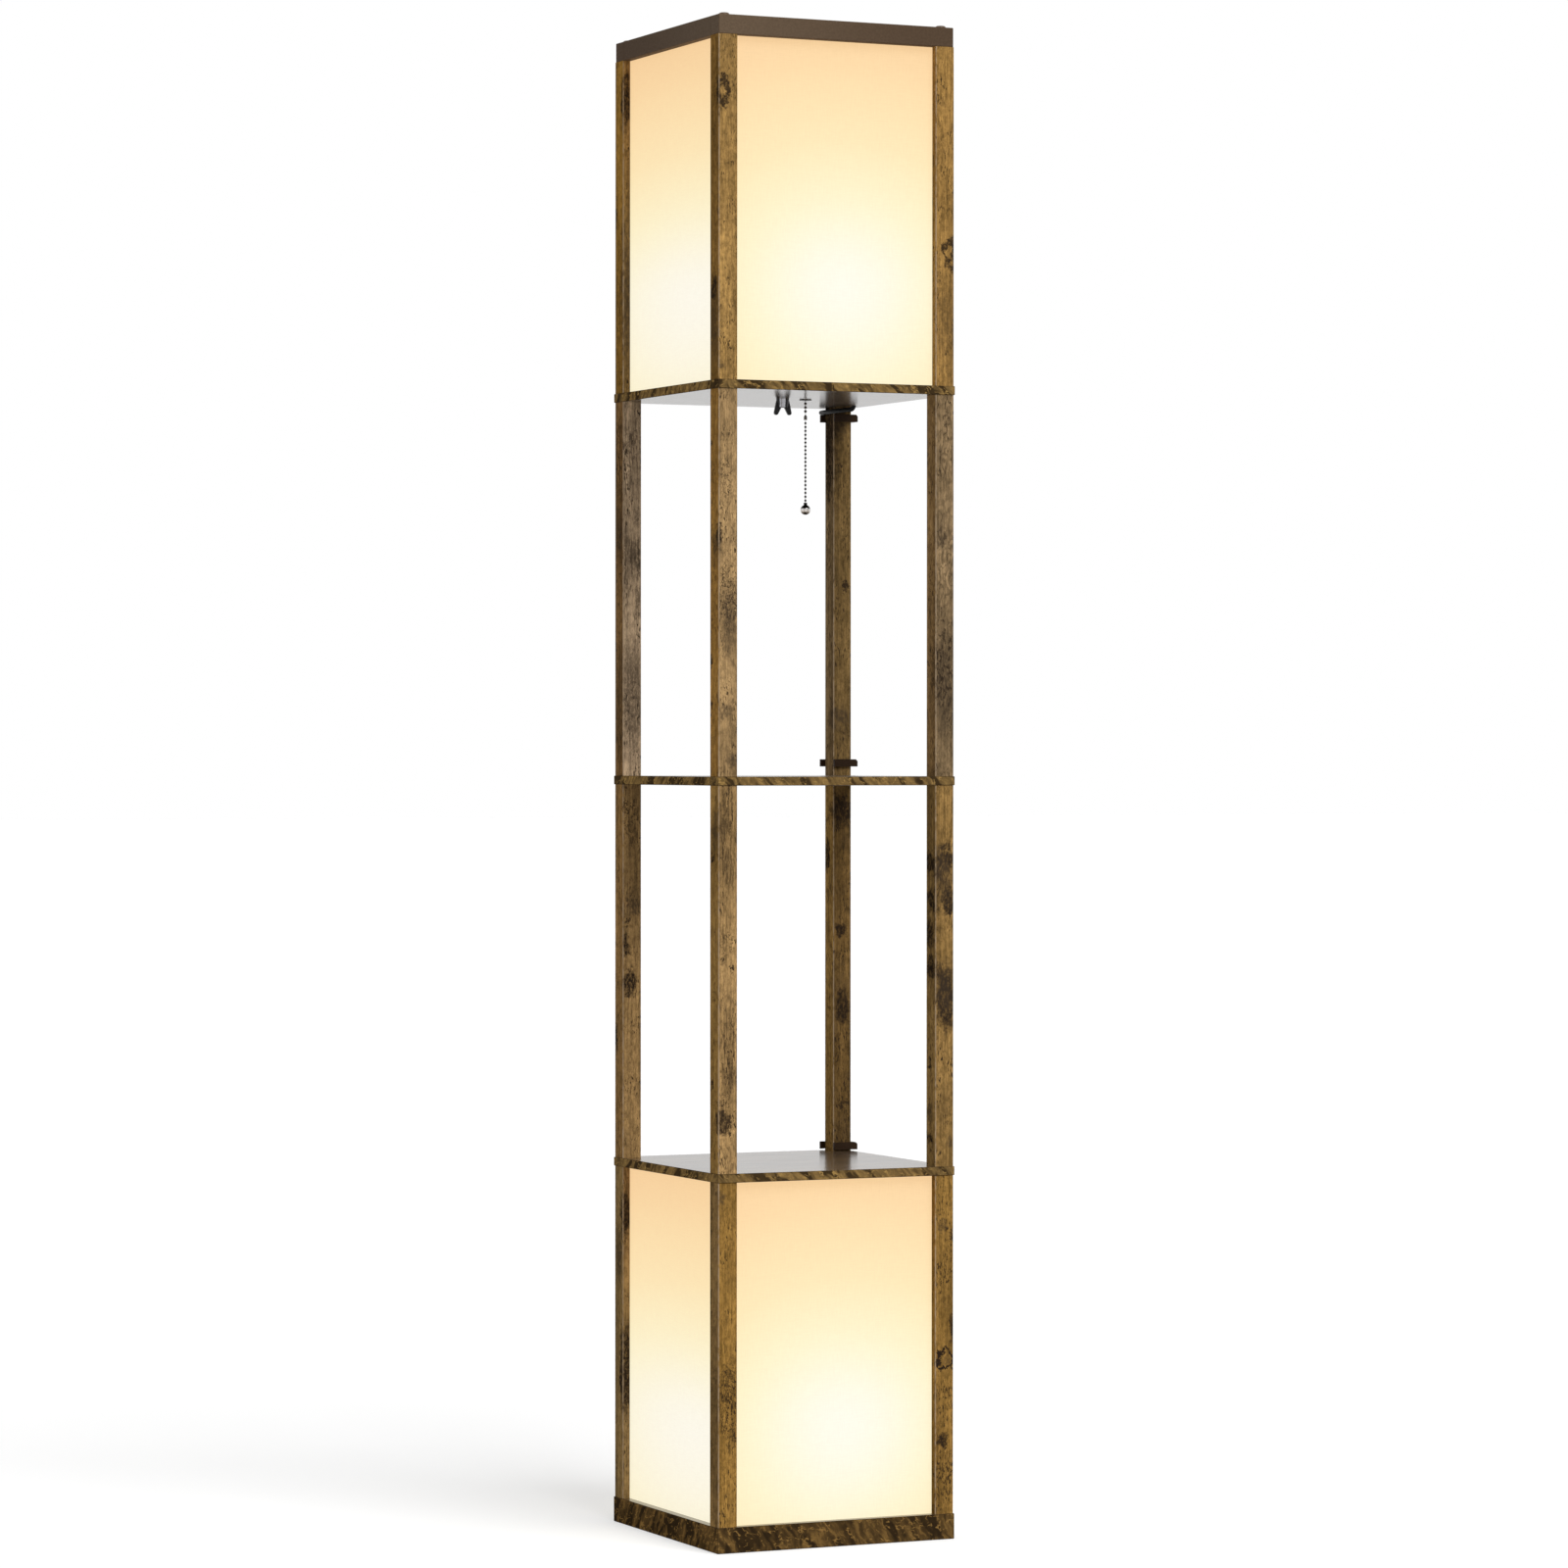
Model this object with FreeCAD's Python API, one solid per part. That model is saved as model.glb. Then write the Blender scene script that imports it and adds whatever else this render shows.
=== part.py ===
"""Shelf floor lamp: a square tower of four posts, three shelf boards and two lit shade boxes.

Frame: millimetres, +Z up, origin at the middle of the base's underside.
X runs to the right and Y to the back, so the front faces -Y.
"""
import FreeCAD, Part
import math
import os

Vec = FreeCAD.Vector
UP = Vec(0, 0, 1)

# ---- driving dimensions: the tower ------------------------------------------------------
BOARD_SIDE = 275.0          # side of the base board and of the shelf boards
BASE_THICK = 27.0           # base board
SHELF_THICK = 9.5           # each shelf board
LIT_HEIGHT = 358.5          # posts and panels of a lit section
BAY_HEIGHT = 403.5          # posts of an open bay
FRAME_HEIGHT = 20.5         # top frame
POST_SIDE = 21.5            # square posts
POST_INSET = 1.0            # post faces behind the boards' edges
FRAME_INSET = 0.5           # top frame's faces behind the posts' faces
POST_EDGE = 1.0             # rounding of the posts' long edges
BOARD_EDGE = 0.8            # rounding of the boards' edges

# ---- shade panels -----------------------------------------------------------------------
PANEL_SETBACK = 8.5         # panel's outer face behind the posts' outer faces
PANEL_THICK = 1.5
GROOVE_DEPTH = 4.0          # groove in the posts that holds a panel's edge
PANEL_PLAY = 0.3            # play of a panel in its grooves and under the board above

# ---- fasteners --------------------------------------------------------------------------
STUD_RADIUS = 3.0           # stud that joins two posts through a shelf board
STUD_BITE = 22.0            # depth of a stud in each post
STUD_PLAY = 0.08            # radial play of a stud in its holes
SCREW_RADIUS = 2.2          # wood screws of the base board and the top frame
SCREW_HEAD_RADIUS = 4.6
SCREW_HEAD_HEIGHT = 3.2
SCREW_BITE = 34.0           # shortest depth of a screw in its post
SCREW_PLAY = 0.08
COUNTERBORE_DEPTH = 6.0     # hole for a screw's head
COUNTERBORE_PLAY = 0.6      # room around a screw's head
HOLE_END_ROOM = 2.0         # room past the end of a stud or screw
CAP_FLANGE_RADIUS = 5.6     # domed cap over each screw of the top frame
CAP_HEIGHT = 2.5
CAP_DOME = 2.0              # rounding of a cap's rim
CAP_PLUG_PLAY = 0.2

# ---- base board's underside -------------------------------------------------------------
RIM_WIDTH = 20.0            # rim that the lamp stands on, around the bottom cover
COVER_THICK = 3.0
COVER_PLAY = 0.5
POCKET_LENGTH = 110.0       # wiring pocket, along X
POCKET_WIDTH = 64.0
POCKET_ROOF = 16.0          # height of the pocket's roof above the floor
DUCT_WIDTH = 8.0            # grooves for the leads
DUCT_ROOF = 14.0
BLOCK_SIZE = (30.0, 22.0, 11.0)
BLOCK_CENTRE = (-32.0, 14.0)
GLAND_RADIUS = 5.5          # cord gland in the rear edge of the base board
GLAND_BORE = 3.4
GLAND_FLANGE_RADIUS = 8.0
GLAND_FLANGE = 2.0
GLAND_HEIGHT = 11.0         # height of the gland's axis above the floor
GLAND_PLAY = 0.1

# ---- lampholders and bulbs --------------------------------------------------------------
NIPPLE_RADIUS = 4.9
NIPPLE_BORE = 3.6
NIPPLE_PLAY = 0.1
NIPPLE_ABOVE = 9.0          # nipple above its board
NIPPLE_BELOW_SHELF = 7.0    # nipple below the upper shelf, inside the wing nut
LOCK_NUT_RADIUS = 8.0
LOCK_NUT_HEIGHT = 4.0
NIPPLE_BELOW_NUT = 1.0      # nipple below its lock nut
NUT_BODY_TOP_RADIUS = 7.0   # wing nut under the upper shelf
NUT_BODY_END_RADIUS = 5.8
NUT_BODY_HEIGHT = 9.0
WING_THICK = 3.0
WING_REACH = 9.6            # wing tip from the nut's axis
WING_WIDTH = 4.6            # width of a wing's rounded tip
WING_DROP = 17.2            # wing tip below the shelf
WING_ROOT = 2.0             # top of a wing's outer edge below the shelf
WING_CROTCH = 7.4           # where the two wings meet, below the shelf
WING_SPLIT = 0.9            # wing's inner edge from the nut's axis at the crotch
WING_TURN = -8.0            # turn of the wings from the X axis, degrees
CUP_RADIUS = 17.5
CUP_HEIGHT = 14.0
CUP_FLOOR = 2.5
CUP_WALL = 1.6
SOCKET_RADIUS = 16.5
SOCKET_BORE = 13.6
SOCKET_TOP = 58.0           # socket's rim above its board
SOCKET_FLOOR = 8.0          # solid foot of the socket
BULB_CAP_RADIUS = 13.2
BULB_CAP_START = 27.0       # lower end of the bulb's cap above the board
BULB_SHOULDER_RADIUS = 15.5
BULB_SEAT_GAP = 0.4         # bulb's shoulder above the socket's rim
GLOBE_RADIUS = 30.0
GLOBE_CENTRE = 105.0        # globe's centre above the board
GLOBE_RIM_DROP = 20.0       # globe's rim below its centre
GLOBE_WALL = 1.2

# ---- pull switch ------------------------------------------------------------------------
CHAIN_X = 27.0              # chain's axis, right of the lamp's middle
SWITCH_WIDTH = 17.0         # along X
SWITCH_DEPTH = 28.0         # along Y
SWITCH_HEADROOM = 7.0       # room over the disc
SWITCH_WALL = 1.5
NECK_RADIUS = 4.75
NECK_BORE = 2.6
NECK_PLAY = 0.1
NECK_NUT_RADIUS = 6.5
NECK_NUT_HEIGHT = 1.2
PULL_TRAVEL = 6.0
STOP_RADIUS = 3.5           # disc at the chain's upper end
STOP_HEIGHT = 2.0
LEVER_AXIS_Y = 9.5          # rocking lever's pin, behind the chain
LEVER_AXIS_RISE = 0.5       # pin above the disc's underside, at rest
LEVER_PIN_RADIUS = 1.2
LEVER_PIN_PLAY = 0.06
LEVER_EYE_RADIUS = 2.4
LEVER_ARM_THICK = 1.6
LEVER_ARM_HEIGHT = 2.2
LEVER_BAR_RADIUS = 0.8      # cross bar under the disc
LEVER_BAR_Y = -4.2
LEVER_PLAY = 0.4            # play of the lever beside the disc and under it
LEVER_ROOM = 2.0            # room under the cross bar when the chain is pulled

# ---- pull chain -------------------------------------------------------------------------
HEAD_BEAD_RADIUS = 1.6
HEAD_PITCH = 4.15
HEAD_FIRST_DROP = 4.3       # first visible bead below the shelf
HEAD_VISIBLE = 3
HEAD_HIDDEN = 3             # beads in the neck
TAIL_BEAD_RADIUS = 1.3
TAIL_PITCH = 4.15
TAIL_COUNT = 21
WIRE_RADIUS = 0.32
JOINT_GAP = 0.6             # gap between two links of the chain, around their pivot
HEAD_STEM = 1.0             # wire under the last bead of the head
TAIL_STEM = 1.5             # wire over the tail's first bead
TAIL_END_STEM = 1.0         # wire under the tail's last bead
BELL_RADIUS = 1.75
BELL_NECK_RADIUS = 0.7
BELL_NECK = 1.2
BELL_SHOULDER = 1.2         # height over which the bell widens
BELL_LENGTH = 6.0
BALL_RADIUS = 5.4
BALL_CAP_RADIUS = 1.9
BALL_CAP = 2.2
BALL_CAP_SINK = 0.54        # ball cap's foot below the top of the ball

# ---- held lead and its clips ------------------------------------------------------------
LEAD_RADIUS = 2.5
LEAD_HOLE_RADIUS = 3.6
LEAD_PLAY = 0.25
LEAD_HOLE_FRONT = 35.0      # hole in the upper shelf, in front of the rear right post
LEAD_ENTRY_GAP = 0.8        # lead behind the rear panel
LEAD_ENTRY_SIDE = 5.0       # lead's axis left of the rear right post
LEAD_LEVEL_BENDS = ((56.0, 4.0), (84.0, 22.0), (104.0, 46.0), (116.9, 64.0))
LEAD_RISE = 1.2             # lead's rise over the upper shelf's hole
LEAD_DROP = 3.2             # lead's axis under the upper shelf, at the hole
LEAD_OVER_CLIP = 0.3        # lead's play over the upper clip
LEAD_SIDE_ROOM = 1.4        # lead's way round the post's side, past its play
LEAD_BACK_ROOM = 1.2        # and behind the clip's arm
LEAD_TURN_DROP = 1.0        # fall of the lead on its way behind the post
LEAD_LEAVE = 18.0           # lead leaves the posts' back this far below the lower shelf
LEAD_SWING = 30.0           # height of each bend from there to the base board's hole
LEAD_HOLE_BEND = 5.0        # bend at the upper shelf's hole
LEAD_BASE_BEND = 6.0        # bend into the duct under the base board
LEAD_ARC_SHARE = 0.45       # share of a run that the arc at each of its ends may take
LEAD_DUCT_DROP = 6.0        # lead's axis under the duct's roof
CLIP_HEIGHT = 8.0
CLIP_THICK = 3.0
CLIP_SIDE = 6.6             # clip's side wall, right of the post
CLIP_REACH = 5.0            # rear arm past the post's left face
CLIP_UPPER_DROP = 6.8       # top of the upper clip below the upper shelf
CLIP_MIDDLE_RISE = 9.7      # foot of the middle clip above the middle shelf
CLIP_LOWER_RISE = 1.4       # foot of the lower clip above the lower shelf
CLIP_CHAMFER = 2.0
CRADLE_WALL = 1.5
CRADLE_MOUTH = 3.6

# ---- worked out from the sizes above ----------------------------------------------------
HALF = BOARD_SIDE / 2
POST_FACE = HALF - POST_INSET
POST_INNER = POST_FACE - POST_SIDE
POST_MID = POST_FACE - POST_SIDE / 2
PANEL_FACE = POST_FACE - PANEL_SETBACK
FRAME_HALF = POST_FACE - FRAME_INSET
LOWER_SHELF_Z = BASE_THICK + LIT_HEIGHT
BAY_PITCH = SHELF_THICK + BAY_HEIGHT
MIDDLE_SHELF_Z = LOWER_SHELF_Z + BAY_PITCH
UPPER_SHELF_Z = MIDDLE_SHELF_Z + BAY_PITCH
UPPER_LIT_Z = UPPER_SHELF_Z + SHELF_THICK
FRAME_Z = UPPER_LIT_Z + LIT_HEIGHT
TOP_Z = FRAME_Z + FRAME_HEIGHT
SCREW_LENGTH = BASE_THICK - COUNTERBORE_DEPTH + SCREW_BITE
CORNERS = {
    "front_left": (-1, -1),
    "front_right": (1, -1),
    "rear_left": (-1, 1),
    "rear_right": (1, 1),
}
CLIP_BACK = POST_FACE + CLIP_THICK
LEAD_BACK_Y = CLIP_BACK + LEAD_PLAY + LEAD_RADIUS
LEAD_EXIT_X = PANEL_FACE - PANEL_THICK - LEAD_HOLE_RADIUS
LEAD_EXIT_Y = POST_INNER - LEAD_HOLE_FRONT
LEAD_RUN_Z = DUCT_ROOF - LEAD_DUCT_DROP
STOP_REST = SWITCH_WALL + LEVER_ROOM + 2 * LEVER_BAR_RADIUS + LEVER_PLAY + PULL_TRAVEL
STOP_Z = UPPER_LIT_Z + STOP_REST
LEVER_AXIS_Z = STOP_Z + LEVER_AXIS_RISE
SWITCH_TOP = STOP_Z + STOP_HEIGHT + SWITCH_HEADROOM


def box(x0, x1, y0, y1, z0, z1):
    return Part.makeBox(x1 - x0, y1 - y0, z1 - z0, Vec(x0, y0, z0))


def rod(radius, x, y, z0, z1):
    return Part.makeCylinder(radius, z1 - z0, Vec(x, y, z0), UP)


def ring(outer, inner, x, y, z0, z1):
    return rod(outer, x, y, z0, z1).cut(rod(inner, x, y, z0, z1))


def turned(profile, x, y, z):
    """Solid of revolution about a vertical axis from (radius, height) points."""
    points = [Vec(r, 0, h) for r, h in profile]
    face = Part.Face(Part.makePolygon(points + points[:1]))
    solid = face.revolve(Vec(0, 0, 0), UP, 360)
    solid.translate(Vec(x, y, z))
    return solid


def rounded(shape, radius, wanted):
    """Round the straight edges that wanted() picks by their direction."""
    edges = [e for e in shape.Edges if isinstance(e.Curve, Part.Line) and wanted(e)]
    return shape.makeFillet(radius, edges)


def is_upright(edge):
    return abs(edge.tangentAt(edge.FirstParameter).z) > 0.99


def any_edge(edge):
    return True


def fused(shapes):
    return shapes[0].multiFuse(shapes[1:]).removeSplitter()


def save(name, *solids):
    shape = solids[0] if len(solids) == 1 else Part.makeCompound(list(solids))
    shape.exportStep("parts/" + name + ".step")


# ---- posts and their fasteners ----------------------------------------------------------
def panel_groove(side_x, side_y, z0, z1):
    """Grooves of a corner post for the two panels that meet in it."""
    near = PANEL_FACE - PANEL_THICK - PANEL_PLAY
    far = PANEL_FACE + PANEL_PLAY
    end = POST_INNER + GROOVE_DEPTH
    across = box(POST_INNER, end, near, far, z0, z1)
    along = box(near, far, POST_INNER, end, z0, z1)
    grooves = across.fuse(along)
    return place_corner(grooves, side_x, side_y)


def place_corner(shape, side_x, side_y):
    """Mirror a shape made for the rear right corner into another corner."""
    if side_x < 0:
        shape = shape.mirror(Vec(0, 0, 0), Vec(1, 0, 0))
    if side_y < 0:
        shape = shape.mirror(Vec(0, 0, 0), Vec(0, 1, 0))
    return shape


def end_hole(z, depth, radius, side_x, side_y):
    """Blind hole in a post's end at height z; a negative depth runs down."""
    low, high = sorted((z, z + depth))
    return rod(radius, side_x * POST_MID, side_y * POST_MID, low, high)


def post(side_x, side_y, z0, height, lit, foot_hole, head_hole):
    z1 = z0 + height
    shape = box(POST_INNER, POST_FACE, POST_INNER, POST_FACE, z0, z1)
    shape = rounded(shape, POST_EDGE, is_upright)
    shape = place_corner(shape, side_x, side_y)
    if lit:
        shape = shape.cut(panel_groove(side_x, side_y, z0, z1))
    foot_radius, foot_depth = foot_hole
    head_radius, head_depth = head_hole
    shape = shape.cut(end_hole(z0, foot_depth, foot_radius, side_x, side_y))
    return shape.cut(end_hole(z1, -head_depth, head_radius, side_x, side_y))


def make_posts():
    stud_hole = (STUD_RADIUS + STUD_PLAY, STUD_BITE + HOLE_END_ROOM)
    screw_radius = SCREW_RADIUS + SCREW_PLAY
    foot_screw_hole = (screw_radius, SCREW_BITE + HOLE_END_ROOM)
    head_bite = SCREW_LENGTH - (FRAME_HEIGHT - COUNTERBORE_DEPTH)
    head_screw_hole = (screw_radius, head_bite + HOLE_END_ROOM)
    sections = {
        "lower_lit_post": (BASE_THICK, LIT_HEIGHT, True, foot_screw_hole, stud_hole),
        "lower_bay_post": (LOWER_SHELF_Z + SHELF_THICK, BAY_HEIGHT, False, stud_hole, stud_hole),
        "upper_bay_post": (MIDDLE_SHELF_Z + SHELF_THICK, BAY_HEIGHT, False, stud_hole, stud_hole),
        "upper_lit_post": (UPPER_LIT_Z, LIT_HEIGHT, True, stud_hole, head_screw_hole),
    }
    for section, spec in sections.items():
        for corner, (side_x, side_y) in CORNERS.items():
            save(section + "_" + corner, post(side_x, side_y, *spec))


def make_studs():
    studs = []
    for shelf_z in (LOWER_SHELF_Z, MIDDLE_SHELF_Z, UPPER_SHELF_Z):
        for side_x, side_y in CORNERS.values():
            low = shelf_z - STUD_BITE
            high = shelf_z + SHELF_THICK + STUD_BITE
            studs.append(rod(STUD_RADIUS, side_x * POST_MID, side_y * POST_MID, low, high))
    save("post_studs", *studs)


def screw(x, y, seat_z, way):
    """Countersink-free wood screw; way is +1 for one driven upwards."""
    direction = Vec(0, 0, way)
    seat = Vec(x, y, seat_z)
    shank = Part.makeCylinder(SCREW_RADIUS, SCREW_LENGTH, seat, direction)
    head = Part.makeCylinder(SCREW_HEAD_RADIUS, SCREW_HEAD_HEIGHT, seat, direction * -1)
    return shank.fuse(head).removeSplitter()


def make_screws():
    screws = []
    for side_x, side_y in CORNERS.values():
        x = side_x * POST_MID
        y = side_y * POST_MID
        screws.append(screw(x, y, COUNTERBORE_DEPTH, 1))
        screws.append(screw(x, y, TOP_Z - COUNTERBORE_DEPTH, -1))
    save("frame_screws", *screws)


def make_screw_caps():
    caps = []
    plug_radius = SCREW_HEAD_RADIUS + COUNTERBORE_PLAY - CAP_PLUG_PLAY
    plug_foot = TOP_Z - COUNTERBORE_DEPTH + SCREW_HEAD_HEIGHT
    for side_x, side_y in CORNERS.values():
        x = side_x * POST_MID
        y = side_y * POST_MID
        plug = rod(plug_radius, x, y, plug_foot, TOP_Z)
        dome = rod(CAP_FLANGE_RADIUS, x, y, TOP_Z, TOP_Z + CAP_HEIGHT)
        rim = [e for e in dome.Edges if e.BoundBox.ZMin > TOP_Z + CAP_HEIGHT / 2]
        dome = dome.makeFillet(CAP_DOME, [e for e in rim if e.Closed])
        caps.append(plug.fuse(dome).removeSplitter())
    save("top_screw_caps", *caps)


# ---- boards and top frame ---------------------------------------------------------------
def stud_holes(z0, z1):
    radius = STUD_RADIUS + STUD_PLAY
    return [rod(radius, sx * POST_MID, sy * POST_MID, z0, z1) for sx, sy in CORNERS.values()]


def shelf_board(z0):
    z1 = z0 + SHELF_THICK
    board = rounded(box(-HALF, HALF, -HALF, HALF, z0, z1), BOARD_EDGE, any_edge)
    return board.cut(Part.makeCompound(stud_holes(z0, z1)))


def make_shelves():
    save("lower_shelf", shelf_board(LOWER_SHELF_Z))
    save("middle_shelf", shelf_board(MIDDLE_SHELF_Z))
    z0 = UPPER_SHELF_Z
    z1 = UPPER_LIT_Z
    upper = shelf_board(z0)
    upper = upper.cut(rod(NIPPLE_RADIUS + NIPPLE_PLAY, 0, 0, z0, z1))
    upper = upper.cut(rod(NECK_RADIUS + NECK_PLAY, CHAIN_X, 0, z0, z1))
    upper = upper.cut(rod(LEAD_HOLE_RADIUS, LEAD_EXIT_X, LEAD_EXIT_Y, z0, z1))
    save("upper_shelf", upper)


def lead_entry():
    """Place where the held lead goes down into the base board, behind the rear panel."""
    x = POST_INNER - LEAD_ENTRY_SIDE
    y = PANEL_FACE + LEAD_ENTRY_GAP + LEAD_RADIUS
    return x, y


def lead_duct():
    """Groove under the base board from the lead's hole to the wiring pocket."""
    x, y = lead_entry()
    target_x = POCKET_LENGTH / 2 - DUCT_WIDTH
    target_y = BLOCK_CENTRE[1]
    length = math.hypot(x - target_x, y - target_y)
    duct = box(-LEAD_HOLE_RADIUS, length, -DUCT_WIDTH / 2, DUCT_WIDTH / 2, 0, DUCT_ROOF)
    duct.rotate(Vec(0, 0, 0), UP, math.degrees(math.atan2(target_y - y, target_x - x)))
    duct.translate(Vec(x, y, 0))
    return duct


def make_base():
    board = rounded(box(-HALF, HALF, -HALF, HALF, 0, BASE_THICK), BOARD_EDGE, any_edge)
    recess = HALF - RIM_WIDTH
    board = board.cut(box(-recess, recess, -recess, recess, 0, COVER_THICK))
    half_length = POCKET_LENGTH / 2
    half_width = POCKET_WIDTH / 2
    board = board.cut(box(-half_length, half_length, -half_width, half_width, 0, POCKET_ROOF))
    board = board.cut(rod(NIPPLE_RADIUS + NIPPLE_PLAY, 0, 0, POCKET_ROOF, BASE_THICK))
    board = board.cut(lead_duct())
    entry_x, entry_y = lead_entry()
    board = board.cut(rod(LEAD_HOLE_RADIUS, entry_x, entry_y, 0, BASE_THICK))
    half_duct = DUCT_WIDTH / 2
    board = board.cut(box(-half_duct, half_duct, half_width, recess, 0, DUCT_ROOF))
    gland_start = Vec(0, recess, GLAND_HEIGHT)
    board = board.cut(Part.makeCylinder(GLAND_RADIUS + GLAND_PLAY, RIM_WIDTH, gland_start, Vec(0, 1, 0)))
    for side_x, side_y in CORNERS.values():
        x = side_x * POST_MID
        y = side_y * POST_MID
        board = board.cut(rod(SCREW_HEAD_RADIUS + COUNTERBORE_PLAY, x, y, 0, COUNTERBORE_DEPTH))
        board = board.cut(rod(SCREW_RADIUS + COUNTERBORE_PLAY, x, y, 0, BASE_THICK))
    save("base_board", board)
    cover = recess - COVER_PLAY
    save("base_cover", box(-cover, cover, -cover, cover, 0, COVER_THICK))


def make_gland_and_block():
    recess = HALF - RIM_WIDTH
    back = Vec(0, 1, 0)
    start = Vec(0, recess, GLAND_HEIGHT)
    body = Part.makeCylinder(GLAND_RADIUS, RIM_WIDTH, start, back)
    flange = Part.makeCylinder(GLAND_FLANGE_RADIUS, GLAND_FLANGE, Vec(0, HALF, GLAND_HEIGHT), back)
    bore = Part.makeCylinder(GLAND_BORE, RIM_WIDTH + GLAND_FLANGE, start, back)
    save("cord_gland", body.fuse(flange).cut(bore).removeSplitter())
    length, width, height = BLOCK_SIZE
    x, y = BLOCK_CENTRE
    block = box(x - length / 2, x + length / 2, y - width / 2, y + width / 2,
                POCKET_ROOF - height, POCKET_ROOF)
    save("terminal_block", block)


def make_top_frame():
    inner = FRAME_HALF - POST_SIDE
    bore = []
    for side_x, side_y in CORNERS.values():
        x = side_x * POST_MID
        y = side_y * POST_MID
        seat = TOP_Z - COUNTERBORE_DEPTH
        bore.append(rod(SCREW_HEAD_RADIUS + COUNTERBORE_PLAY, x, y, seat, TOP_Z))
        bore.append(rod(SCREW_RADIUS + COUNTERBORE_PLAY, x, y, FRAME_Z, seat))
    bores = Part.makeCompound(bore)
    for name, side in (("front", -1), ("rear", 1)):
        y0, y1 = sorted((side * inner, side * FRAME_HALF))
        rail = rounded(box(-FRAME_HALF, FRAME_HALF, y0, y1, FRAME_Z, TOP_Z), BOARD_EDGE, any_edge)
        save("top_rail_" + name, rail.cut(bores))
    for name, side in (("left", -1), ("right", 1)):
        x0, x1 = sorted((side * inner, side * FRAME_HALF))
        rail = box(x0, x1, -inner, inner, FRAME_Z, TOP_Z)
        save("top_rail_" + name, rounded(rail, BOARD_EDGE, lambda e: abs(e.tangentAt(e.FirstParameter).y) > 0.99))


# ---- shade panels -----------------------------------------------------------------------
def make_panels():
    end = POST_INNER + GROOVE_DEPTH - PANEL_PLAY
    near = PANEL_FACE - PANEL_THICK
    for level, z0 in (("lower", BASE_THICK), ("upper", UPPER_LIT_Z)):
        z1 = z0 + LIT_HEIGHT - PANEL_PLAY
        save(level + "_shade_front", box(-end, end, -PANEL_FACE, -near, z0, z1))
        save(level + "_shade_rear", box(-end, end, near, PANEL_FACE, z0, z1))
        save(level + "_shade_left", box(-PANEL_FACE, -near, -end, end, z0, z1))
        save(level + "_shade_right", box(near, PANEL_FACE, -end, end, z0, z1))


# ---- lampholders ------------------------------------------------------------------------
def holder_cup(z):
    inner = CUP_RADIUS - CUP_WALL
    bore = NIPPLE_RADIUS + NIPPLE_PLAY
    profile = [(bore, 0), (CUP_RADIUS, 0), (CUP_RADIUS, CUP_HEIGHT), (inner, CUP_HEIGHT),
               (inner, CUP_FLOOR), (bore, CUP_FLOOR)]
    return turned(profile, 0, 0, z)


def socket(z):
    foot = CUP_HEIGHT + SOCKET_FLOOR
    rim = [(0, CUP_HEIGHT), (SOCKET_RADIUS, CUP_HEIGHT), (SOCKET_RADIUS, SOCKET_TOP),
           (SOCKET_BORE, SOCKET_TOP), (SOCKET_BORE, foot), (0, foot)]
    contact = rod(SOCKET_BORE / 4, 0, 0, foot, BULB_CAP_START)
    return turned(rim, 0, 0, z).fuse(contact.translated(Vec(0, 0, z))).removeSplitter()


def bulb_base(z):
    shoulder = SOCKET_TOP + BULB_SEAT_GAP
    rim_height = GLOBE_CENTRE - GLOBE_RIM_DROP
    rim_radius = math.sqrt(GLOBE_RADIUS ** 2 - GLOBE_RIM_DROP ** 2)
    profile = [(0, BULB_CAP_START), (BULB_CAP_RADIUS / 2, BULB_CAP_START),
               (BULB_CAP_RADIUS, BULB_CAP_START + BULB_CAP_RADIUS / 4),
               (BULB_CAP_RADIUS, shoulder), (BULB_SHOULDER_RADIUS, shoulder),
               (rim_radius, rim_height), (0, rim_height)]
    return turned(profile, 0, 0, z)


def bulb_globe(z):
    centre = Vec(0, 0, z + GLOBE_CENTRE)
    shell = Part.makeSphere(GLOBE_RADIUS, centre).cut(Part.makeSphere(GLOBE_RADIUS - GLOBE_WALL, centre))
    below = z + GLOBE_CENTRE - GLOBE_RIM_DROP
    side = 2 * GLOBE_RADIUS
    return shell.cut(box(-side, side, -side, side, below - side, below))


def wing():
    """One wing of the wing nut: a flat blade that leans outwards to a round tip."""
    tip_radius = WING_WIDTH / 2
    tip = Vec(WING_REACH - tip_radius, 0, -WING_DROP + tip_radius)
    root_in = Vec(WING_SPLIT, 0, -WING_CROTCH)
    root_out = Vec(NUT_BODY_TOP_RADIUS, 0, -WING_ROOT)
    run = (tip - (root_in + root_out) / 2).normalize()
    side = Vec(-run.z, 0, run.x) * tip_radius
    edges = [
        Part.makeLine(root_in, root_out),
        Part.makeLine(root_out, tip + side),
        Part.Arc(tip + side, tip + run * tip_radius, tip - side).toShape(),
        Part.makeLine(tip - side, root_in),
    ]
    blade = Part.Face(Part.Wire(edges)).extrude(Vec(0, WING_THICK, 0))
    blade.translate(Vec(0, -WING_THICK / 2, 0))
    return blade


def make_wing_nut():
    body = turned([(0, 0), (NUT_BODY_TOP_RADIUS, 0), (NUT_BODY_END_RADIUS, -NUT_BODY_HEIGHT),
                   (0, -NUT_BODY_HEIGHT)], 0, 0, 0)
    right = wing()
    left = wing().mirror(Vec(0, 0, 0), Vec(1, 0, 0))
    nut = fused([body, right, left])
    nut = nut.cut(rod(NIPPLE_RADIUS + NIPPLE_PLAY, 0, 0, -NUT_BODY_HEIGHT, 0))
    nut.rotate(Vec(0, 0, 0), UP, WING_TURN)
    nut.translate(Vec(0, 0, UPPER_SHELF_Z))
    save("upper_wing_nut", nut)


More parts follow.
